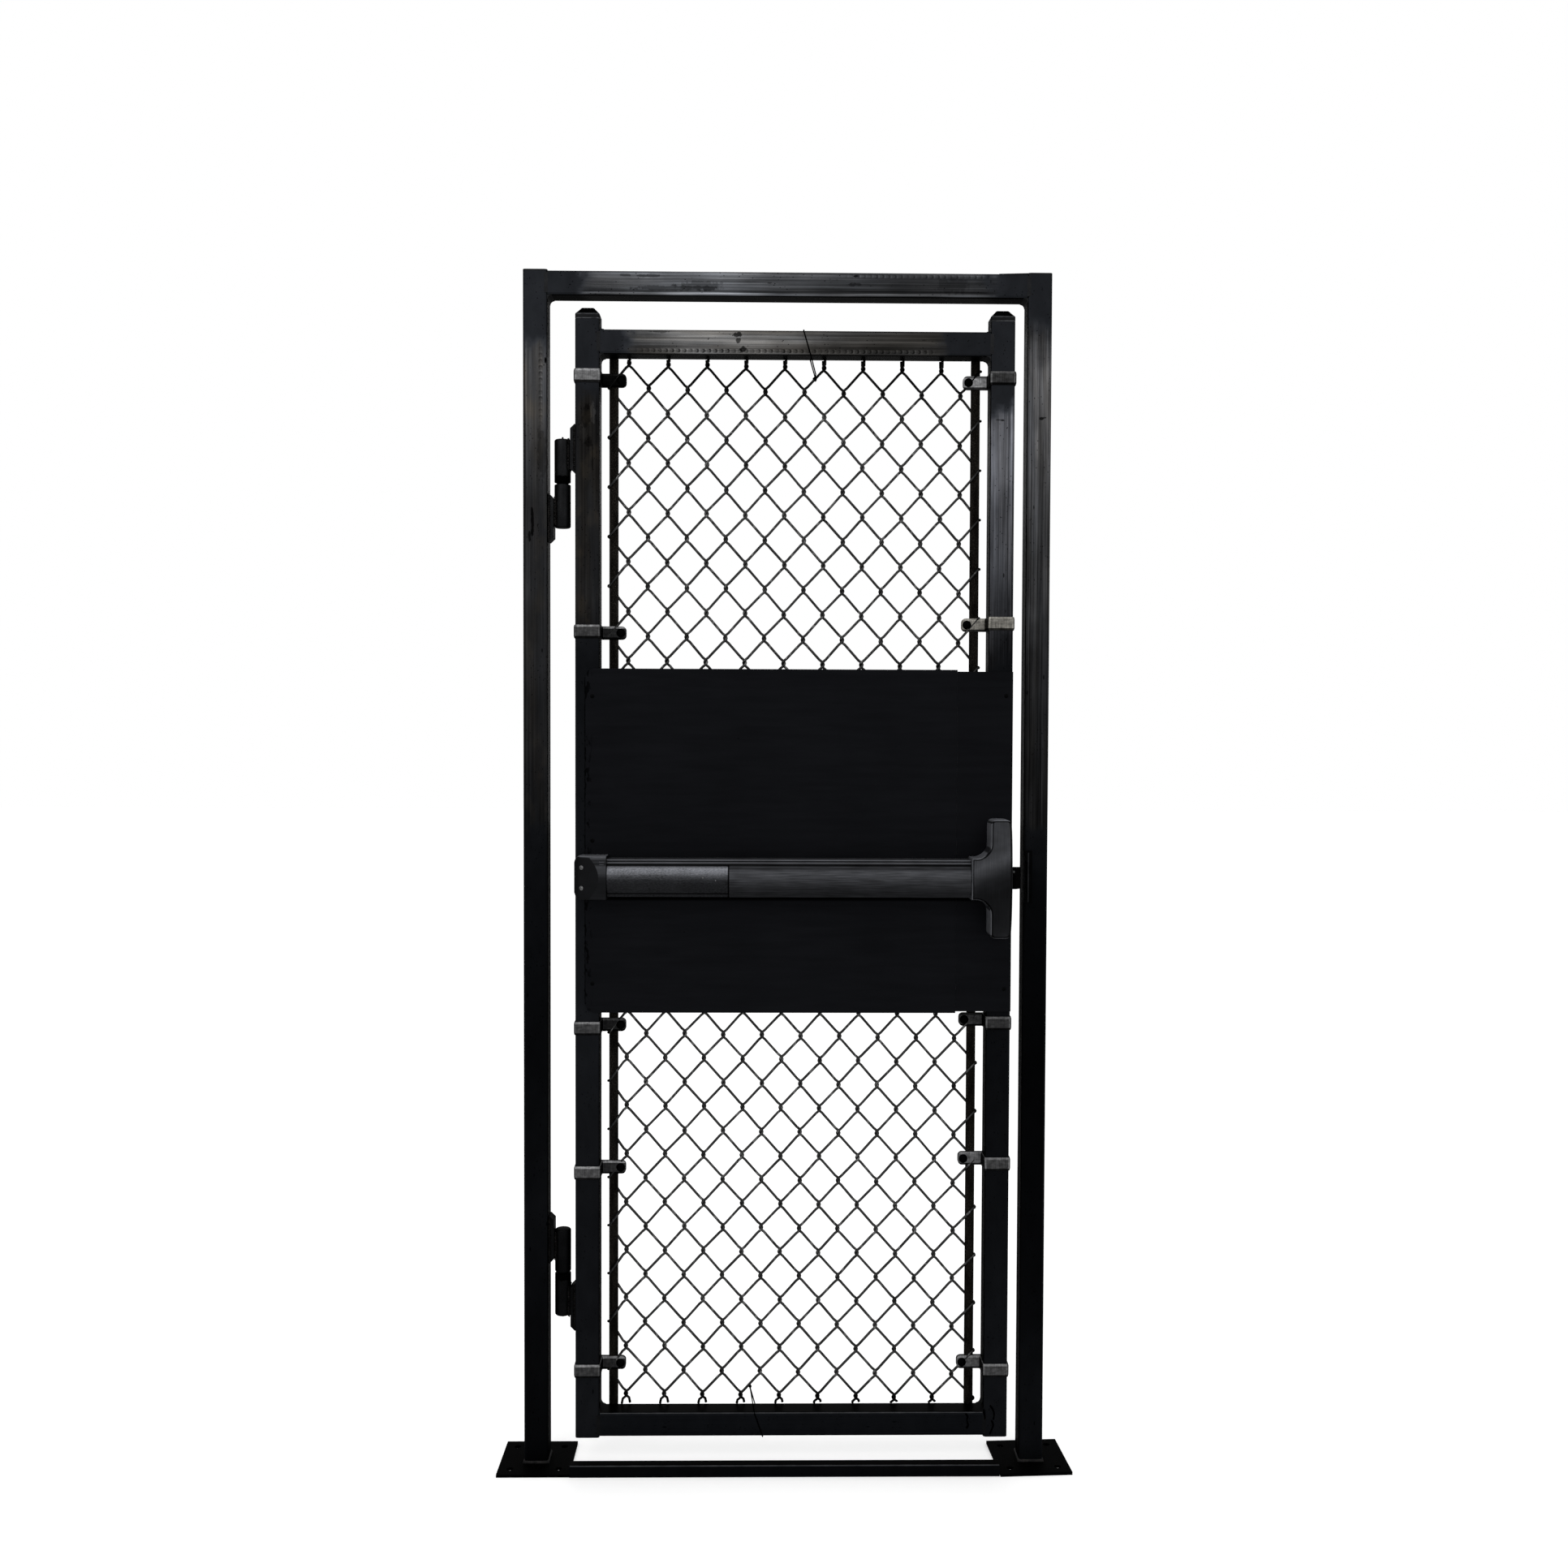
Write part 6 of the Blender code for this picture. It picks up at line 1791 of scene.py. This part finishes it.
@dataclass
class ExitDevice(Assembly):
    """The push bar: rail, cover, pad, end cap and T-shaped head."""

    corner: float = 14.0 * MM
    collar: float = 14.0 * MM
    side_depth: float = 26.0 * MM
    curve_steps: int = 14
    wing: float = 45.5 * MM
    root_height: float = 86.0 * MM
    sweep_height: float = 29.0 * MM
    run_on: float = 8.0 * MM
    head_collar: float = 8.0 * MM
    head_corner: float = 11.0 * MM
    bulge: float = 3.0 * MM
    head_lip: float = 14.0 * MM
    head_rounding: float = 8.0 * MM
    slot_depth: float = 21.0 * MM
    slot_spare: float = 0.8 * MM
    end_cap_rounding: float = 5.0 * MM
    arc_steps: int = 10

    def build(self) -> None:
        """Dress the extrusions, and add the castings, screws and marks."""
        # Painted light: the zones of these coats paint the highlights and dark lines that the light
        # lays along the rail's ridges, the cover and the pad, by height
        rail = PowderCoat("device_rail_coat", zones(
            (1.2122, 0.009), (1.2775, 0.0012), (1.2792, 0.004), (1.2805, 0.028), (1.282, 0.065),
            (1.2838, 0.075), (1.2848, 0.018), (1.2866, 0.022), (1.2875, 0.11), (1.289, 0.09),
            (1.2898, 0.05)), brushed=0.1)
        self.dress(rail, "exit_device_rail")
        self.dress(PowderCoat("device_cover_coat", zones(
            (1.2122, 0.0115), (1.2175, 0.011), (1.2184, 0.0012), (1.22, 0.0012),
            (1.221, 0.0135), (1.24, 0.0148), (1.247, 0.02), (1.252, 0.038), (1.256, 0.06),
            (1.26, 0.095), (1.264, 0.13), (1.2695, 0.15), (1.2725, 0.12), (1.275, 0.05),
            (1.2765, 0.006), (1.278, 0.001)), brushed=0.1, speckle=0.4,
            seams=(0.1532, 0.4042)), "exit_device_cover")
        pad = PowderCoat("push_pad_coat", zones(
            (1.2122, 0.0135), (1.216, 0.0125), (1.22, 0.0125), (1.228, 0.0165), (1.235, 0.021),
            (1.242, 0.027), (1.25, 0.036), (1.257, 0.047), (1.264, 0.05), (1.268, 0.037),
            (1.2712, 0.016), (1.2735, 0.021), (1.2752, 0.031), (1.2762, 0.005),
            (1.278, 0.007)), brushed=0.38, seams=(0.4048,))
        self.dress(pad, "push_pad")
        self.lengthened("exit_device_rail", rail, Body.LEAF)
        self.lengthened("push_pad", pad, Body.PAD)
        self.rail_ridges(rail)
        self.end_cap()
        self.end_cap_screws()
        self.head()
        self.marks()

    def lengthened(self, solid: str, finish: Finish, body: Body) -> None:
        """Add the length by which an extrusion runs on to the seam of the head."""
        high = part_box(solid)[1]
        mesh = bmesh.new()
        mesh.from_mesh(self.nodes[solid].data)
        bmesh.ops.transform(mesh, matrix=self.nodes[solid].matrix_world, verts=mesh.verts)
        cuts = sliced(mesh, Axis.X, high.x - self.run_on - 0.2 * MM, True)
        rim = [item for item in cuts if isinstance(item, Edge)]
        bmesh.ops.triangle_fill(mesh, edges=rim, use_beauty=True)
        bmesh.ops.recalc_face_normals(mesh, faces=mesh.faces)
        shifted(mesh, (self.run_on, 0.0, 0.0))
        self.add(solid + "_end", mesh, finish, body, Slot.DEVICE)

    def rail_ridges(self, finish: Finish) -> None:
        """Add the two long ridges along the top of the rail's front."""
        low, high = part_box("exit_device_rail")
        ridges = []
        for bottom, top in ((1280.8 * MM, 1284.2 * MM), (1287.0 * MM, 1289.6 * MM)):
            length = high.x - low.x + self.run_on - 0.6 * MM
            ridge = box((length, 2.4 * MM, top - bottom),
                        (low.x + 0.3 * MM + length / 2, low.y + 0.2 * MM, (bottom + top) / 2))
            ridges.append(rounded(ridge, along(ridge, Axis.X), 0.8 * MM, 3))
        self.add("exit_device_rail_ridges", joined(ridges), finish, Body.LEAF, Slot.DEVICE)

    def end_cap(self) -> None:
        """Add the cap of the hinge end, its front drawn back in a quarter turn."""
        low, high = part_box("exit_device_end_cap")
        width, depth, height = high.x - low.x, high.y - low.y, high.z - low.z
        mesh = box((width, depth, height), (width / 2, -depth / 2, 0.0))
        rounded(mesh, [edge for edge in along(mesh, Axis.Y) if edge.verts[0].co.x < width / 2],
                self.corner, 6)
        reach = width - self.collar
        for step in range(1, self.curve_steps + 1):
            turn = math.pi / 2 * step / self.curve_steps
            sliced(mesh, Axis.X, reach * (1.0 - math.cos(turn)))
        front = [vert for vert in mesh.verts if vert.co.y < -depth / 2]
        for vert in front:
            share = min(vert.co.x / reach, 1.0)
            curve = math.sqrt(max(0.0, 1.0 - (1.0 - share) ** 2))
            vert.co.y = -self.side_depth - (depth - self.side_depth) * curve
        upright = set(along(mesh, Axis.Z))
        rim = [edge for edge in mesh.edges if edge not in upright
               and all(vert in front for vert in edge.verts)
               and any(vert not in front for face in edge.link_faces for vert in face.verts)]
        rounded(mesh, rim, self.end_cap_rounding, 4)
        middle = (low.z + high.z) / 2
        shifted(mesh, (low.x, high.y, middle))
        ridges = []
        for number, drop in enumerate((11.5, 16.5, 22.5)):
            ridge = box((11.0 * MM - number * 1.5 * MM, 3.0 * MM, 1.8 * MM),
                        (high.x - 9.0 * MM, low.y + 1.0 * MM, high.z - drop * MM))
            ridges.append(rounded(ridge, ridge.edges, 0.7 * MM, 2))
        # Painted light: the zones paint highlights and dark lines by height, and the faces that
        # turn up are painted light as lit from above
        coat = EndCapCoat("end_cap_coat", zones(
            (1.206, 0.008), (1.2085, 0.014), (1.212, 0.0095), (1.24, 0.008), (1.252, 0.0125),
            (1.262, 0.032), (1.274, 0.045), (1.278, 0.02), (1.281, 0.009), (1.284, 0.024),
            (1.288, 0.014), (1.292, 0.05), (1.296, 0.07)), brushed=0.08, middle=middle,
            rims=PaintedRimLight(0.003, 0.01, 0.17, 0.016, 0.7))
        self.add("exit_device_end_cap_casting", mesh, coat, Body.LEAF, Slot.DEVICE,
                 ("exit_device_end_cap",), 40.0)
        self.add("exit_device_end_cap_ridges", joined(ridges),
                 PowderCoat("end_cap_ridge_coat", zones((1.27, 0.05), (1.3, 0.06))), Body.LEAF,
                 Slot.DEVICE)

    def end_cap_screws(self) -> None:
        """Add the two slotted screws in the face of the end cap."""
        low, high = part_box("exit_device_end_cap")
        width, depth = high.x - low.x, high.y - low.y
        reach = width - self.collar
        parts = []
        for x, z in ((101.4 * MM, 1272.6 * MM), (101.2 * MM, 1230.0 * MM)):
            share = (x - low.x) / reach
            curve = math.sqrt(1.0 - (1.0 - share) ** 2)
            face = high.y - self.side_depth - (depth - self.side_depth) * curve
            slope = (depth - self.side_depth) * (1.0 - share) / (curve * reach)
            profile = [(0.0, 2.2 * MM), (2.4 * MM, 1.9 * MM), (4.0 * MM, 1.1 * MM),
                       (4.8 * MM, 0.0), (4.8 * MM, -1.6 * MM), (0.0, -1.6 * MM)]
            head = turned(profile, (0.0, 0.0, 0.0), Axis.Y, False, 28)
            slot = box((10.0 * MM, 2.0 * MM, 1.1 * MM), (0.0, -2.0 * MM, 0.0))
            cross = box((1.1 * MM, 2.0 * MM, 10.0 * MM), (0.0, -2.0 * MM, 0.0))
            head = cut(cut(head, slot), cross)
            turn = Matrix.Rotation(-math.atan(slope), 4, "Z") @ Matrix.Rotation(0.5, 4, "Y")
            bmesh.ops.transform(head, matrix=Matrix.Translation((x, face, z)) @ turn,
                                verts=head.verts)
            parts.append(head)
        self.add("exit_device_end_cap_screws", joined(parts),
                 BareMetal("screw_metal", level=0.13), Body.LEAF, Slot.LATCH)

    def arc(self, centre: tuple[float, float], radii: tuple[float, float], start: float,
            end: float) -> list[tuple[float, float]]:
        """Return points on an ellipse about a centre, from a start to an end angle."""
        turns = [start + (end - start) * step / self.arc_steps
                 for step in range(self.arc_steps + 1)]
        return [(centre[0] + radii[0] * math.cos(turn), centre[1] + radii[1] * math.sin(turn))
                for turn in turns]

    def head_outline(self, width: float, height: float) -> list[tuple[float, float]]:
        """Return the outline of the T-shaped head, about the middle of its right edge.

        Args:
            width: how wide the head is.
            height: how high it is.

        Returns:
            The points of the outline.
        """
        half, root, quarter = height / 2, self.root_height / 2, math.pi / 2
        shoulder, corner = half - self.head_corner, self.head_corner
        sweep = width - self.wing - self.head_collar
        upper = self.arc((-self.bulge, 0.0), (self.bulge, shoulder), 0.0, quarter)
        upper += self.arc((-self.bulge - corner, shoulder), (corner, corner), 0.0, quarter)[1:]
        upper += self.arc((corner - self.wing, shoulder), (corner, corner), quarter, math.pi)
        upper += self.arc((-self.wing - sweep, root + self.sweep_height),
                          (sweep, self.sweep_height), 0.0, -quarter)
        upper.append((-width, root))
        return upper + [(x, -z) for x, z in reversed(upper[1:])]

    def head(self) -> None:
        """Add the T-shaped head, with thick rounded edges and the slot of the bolt."""
        low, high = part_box("exit_device_head")
        bolt_low, bolt_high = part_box("latch_bolt")
        width, depth, height = high.x - low.x - self.run_on, high.y - low.y, high.z - low.z
        mesh = bmesh.new()
        ring = [mesh.verts.new((x, 0.0, z)) for x, z in self.head_outline(width, height)]
        face = mesh.faces.new(ring)
        for run in (depth - self.head_lip, self.head_lip):
            grown = bmesh.ops.extrude_face_region(mesh, geom=[face])
            bmesh.ops.translate(mesh, vec=(0.0, -run, 0.0), verts=moved(grown))
            if run < depth / 2:
                bmesh.ops.delete(mesh, geom=[face], context="FACES_ONLY")
            face = new_faces(grown)[0]
        bmesh.ops.recalc_face_normals(mesh, faces=mesh.faces)
        rim = [edge for edge in mesh.edges
               if all(vert.co.y < -depth + 0.1 * MM for vert in edge.verts)]
        rounded(mesh, rim, self.head_rounding, 5)
        middle = (low.z + high.z) / 2
        shifted(mesh, (high.x, high.y, middle))
        spare = self.slot_spare
        tail = bolt_low.x - self.slot_depth
        pocket = box((high.x + 5.0 * MM - tail, bolt_high.y - bolt_low.y + 2 * spare,
                      bolt_high.z - bolt_low.z + 2 * spare),
                     ((high.x + 5.0 * MM + tail) / 2, (bolt_high.y + bolt_low.y) / 2, middle))
        # Painted light and shade: the zones paint the head light on its upper wing and darker
        # downwards, and faces that turn aside take painted rim light, lightest on the left and the
        # top
        coat = PowderCoat("head_coat", zones(
            (1.1, 0.016), (1.135, 0.0095), (1.16, 0.0072), (1.21, 0.0066), (1.228, 0.008),
            (1.243, 0.0125), (1.255, 0.025), (1.266, 0.042), (1.278, 0.056), (1.29, 0.044),
            (1.3, 0.036), (1.33, 0.038), (1.38, 0.03)), centre=0.93, slant=0.43,
            brushed=0.18, upright=True, rims=PaintedRimLight(0.15, 0.014, 0.2, 0.06, 0.2))
        self.add("exit_device_head_casting", cut(mesh, pocket), coat, Body.LEAF, Slot.DEVICE,
                 ("exit_device_head",), 40.0)

    def marks(self) -> None:
        """Add the two small plugs in the cover."""
        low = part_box("exit_device_cover")[0]
        parts = []
        for x, z, radius in ((352.0 * MM, 1253.0 * MM, 1.5 * MM),
                             (378.0 * MM, 1247.0 * MM, 1.2 * MM)):
            profile = [(0.0, 0.5 * MM), (radius, 0.4 * MM), (radius * 1.3, -0.4 * MM),
                       (0.0, -1.5 * MM)]
            parts.append(turned(profile, (x, low.y + 0.1 * MM, z), Axis.Y, False, 16))
        self.add("exit_device_cover_plugs", joined(parts),
                 BareMetal("plug_metal", level=0.12), Body.LEAF, Slot.DEVICE)


@dataclass
class LatchAndStrike(Assembly):
    """The latch bolt and the strike on the latch post."""

    def build(self) -> None:
        """Dress the bolt and the strike, and add the bolt's small wear pad."""
        self.dress(PaintedSteel("bolt_paint", level=0.0008, roughness=0.5), "latch_bolt")
        self.dress(PaintedSteel("strike_paint", level=0.0016, roughness=0.5), "latch_strike")
        low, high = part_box("latch_strike")
        strips = []
        for x, y, width, half in ((low.x + 1.0 * MM, -28.7 * MM, 1.6 * MM, 45.0 * MM),
                                  (low.x + 7.2 * MM, low.y, 3.2 * MM, 52.0 * MM)):
            strip = box((width, 0.8 * MM, 2 * half), (x, y, (low.z + high.z) / 2))
            strips.append(rounded(strip, strip.edges, 0.35 * MM, 1))
        self.add("latch_strike_edges", joined(strips),
                 PaintedSteel("strike_edge_paint", level=0.011), Body.FRAME, Slot.STEEL)
        low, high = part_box("latch_bolt")
        patch = box((4.0 * MM, 0.8 * MM, 4.5 * MM),
                    (high.x - 16.0 * MM, low.y - 0.1 * MM, high.z - 9.0 * MM))
        rounded(patch, patch.edges, 0.3 * MM, 1)
        self.add("latch_bolt_wear_pad", patch, BareMetal("wear_pad_metal", level=0.05),
                 Body.BOLT, Slot.LATCH)


@dataclass
class WireTies(Assembly):
    """The two wire ties that hold the fabric to the rails."""

    radius: float = 1.35 * MM

    def build(self) -> None:
        """Add both ties."""
        rail_low, rail_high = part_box("top_rail")
        front, back = rail_low.y - 1.0 * MM, rail_high.y + 1.0 * MM
        top = rail_high.z + 0.9 * MM
        tie = [Vector((0.581, 0.019, 2.294)), Vector((0.583, 0.012, 2.304)),
               Vector((0.5705, front, rail_low.z + 2.0 * MM)),
               Vector((0.557, front, rail_high.z - 3.0 * MM)),
               Vector((0.5565, front + 2.5 * MM, top)), Vector((0.5565, back - 2.5 * MM, top)),
               Vector((0.557, back, rail_high.z - 3.0 * MM)),
               Vector((0.5718, back, rail_low.z + 2.0 * MM)),
               Vector((0.5822, 0.0262, 2.301)), Vector((0.5825, 0.0262, 2.296))]
        self.tie("top_wire_tie", tie, Vector((0.5815, 0.0225, 2.2965)))
        low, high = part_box("bottom_rail")
        tie = [Vector((0.4505, 0.019, 0.151)), Vector((0.453, 0.014, 0.142)),
               Vector((0.4615, front, high.z - 2.0 * MM)),
               Vector((0.4775, front, low.z + 3.0 * MM)),
               Vector((0.4785, front + 2.5 * MM, low.z - 0.9 * MM)),
               Vector((0.4785, back - 2.5 * MM, low.z - 0.9 * MM)),
               Vector((0.4775, back, low.z + 3.0 * MM)),
               Vector((0.4615, back, high.z - 2.0 * MM)), Vector((0.4505, 0.0265, 0.149))]
        self.tie("bottom_wire_tie", tie, Vector((0.4505, 0.0225, 0.1505)))

    def tie(self, name: str, path: Sequence[Vector], knot: Vector) -> None:
        """Add one tie with its knot.

        Args:
            name: the name of the tie.
            path: the points that it follows.
            knot: the middle of its knot.
        """
        run = [Bead(tuple(spot)) for spot in path]
        coil = []
        for step in range(33):
            turn = step * math.tau / 11
            lift = (step / 32 - 0.5) * 4.5 * MM
            reach = 3.6 * MM + 0.3 * MM * math.sin(step * 1.3)
            # The coil leans with the wire that it is wound on
            spot = knot + Vector((reach * math.cos(turn) * 0.75 + lift * 0.6,
                                  reach * math.sin(turn),
                                  lift * 0.8 - reach * math.cos(turn) * 0.6))
            coil.append(Bead(tuple(spot)))
        self.add(name, swept([run, coil], self.radius, 6),
                 CoatedWire(name + "_coating", level=0.0012, scuff=0.004), Body.LEAF,
                 Slot.WIRE)


# ---- Studio


@dataclass
class Studio:
    """The pale floor, the soft light and the camera."""

    place: Point = (0.47180527, -3.23610929, 1.53893796)
    yaw: float = 0.01466
    pitch: float = -0.02942
    roll: float = 0.00365
    lens: float = 35.264
    ambient: float = 0.9
    glow: float = 0.36

    def build(self) -> None:
        """Set up the floor, the world, the lamps, the camera and the view transform."""
        self.floor()
        self.world()
        self.lamp("key", (-1.2, -3.4, 4.4), 2.6, 40.0)
        self.lamp("fill", (2.8, -3.0, 2.6), 2.2, 12.0)
        self.lamp("back", (0.5, 3.4, 3.6), 2.4, 20.0)
        self.camera()
        bpy.context.scene.view_settings.view_transform = "Standard"

    def floor(self) -> None:
        """Add the floor: white where light reaches it, darker in the gate's own shadow."""
        mesh = bmesh.new()
        bmesh.ops.create_grid(mesh, x_segments=1, y_segments=1, size=30.0)
        item = placed("studio_floor", mesh)
        material = bpy.data.materials.new("floor_paper")
        material.use_nodes = True
        nodes, links = material.node_tree.nodes, material.node_tree.links
        shader = nodes["Principled BSDF"]
        shader.inputs["Base Color"].default_value = (0.8, 0.8, 0.8, 1.0)
        shader.inputs["Roughness"].default_value = 0.9
        shader.inputs["Specular IOR Level"].default_value = 0.0
        shader.inputs["Emission Color"].default_value = (1.0, 1.0, 1.0, 1.0)
        path = nodes.new("ShaderNodeLightPath")
        seen = nodes.new("ShaderNodeMath")
        seen.operation = "MULTIPLY"
        seen.inputs[1].default_value = self.glow
        links.new(path.outputs["Is Camera Ray"], seen.inputs[0])
        links.new(seen.outputs[0], shader.inputs["Emission Strength"])
        item.data.materials.append(material)

    def world(self) -> None:
        """Make the world white to the camera and to reflections, and softer as a light."""
        world = bpy.data.worlds.new("studio_air")
        bpy.context.scene.world = world
        world.use_nodes = True
        nodes, links = world.node_tree.nodes, world.node_tree.links
        air = nodes["Background"]
        air.inputs["Color"].default_value = (1.0, 1.0, 1.0, 1.0)
        path = nodes.new("ShaderNodeLightPath")
        seen = path.outputs["Is Camera Ray"]
        for name in ("Is Glossy Ray", "Is Transmission Ray"):
            either = nodes.new("ShaderNodeMath")
            either.operation = "MAXIMUM"
            links.new(seen, either.inputs[0])
            links.new(path.outputs[name], either.inputs[1])
            seen = either.outputs[0]
        strength = nodes.new("ShaderNodeMapRange")
        links.new(seen, strength.inputs["Value"])
        strength.inputs["To Min"].default_value = self.ambient
        strength.inputs["To Max"].default_value = 1.0
        links.new(strength.outputs[0], air.inputs["Strength"])

    def lamp(self, name: str, place: Point, size: float, power: float) -> None:
        """Add one square soft lamp that faces the gate, of a size and a power in watts."""
        light = bpy.data.lights.new(name, "AREA")
        light.shape = "SQUARE"
        light.size = size
        light.energy = power
        item = bpy.data.objects.new(name, light)
        item.location = place
        aim = Vector((0.52, 0.0, 1.25)) - Vector(place)
        item.rotation_euler = aim.to_track_quat("-Z", "Y").to_euler()
        bpy.context.scene.collection.objects.link(item)

    def camera(self) -> None:
        """Add the camera at the photograph's place."""
        data = bpy.data.cameras.new("camera")
        data.sensor_width = 36.0
        data.lens = self.lens
        data.clip_end = 200.0
        item = bpy.data.objects.new("camera", data)
        turn = (Matrix.Rotation(-self.yaw, 3, "Z")
                @ Matrix.Rotation(math.pi / 2 + self.pitch, 3, "X")
                @ Matrix.Rotation(self.roll, 3, "Z"))
        item.matrix_world = Matrix.Translation(self.place) @ turn.to_4x4()
        bpy.context.scene.collection.objects.link(item)
        bpy.context.scene.camera = item


def main() -> None:
    """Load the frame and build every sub-assembly."""
    logging.basicConfig(level=logging.INFO, format="%(name)s: %(message)s")
    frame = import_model()
    for kind in (PortalFrame, LeafFrame, HingePair, WovenFabric, TensionBands, Panels,
                 ExitDevice, LatchAndStrike, WireTies):
        LOG.info("building %s", kind.__name__)
        kind(frame["nodes"]).build()
    Studio().build()


if __name__ == "__main__":
    main()
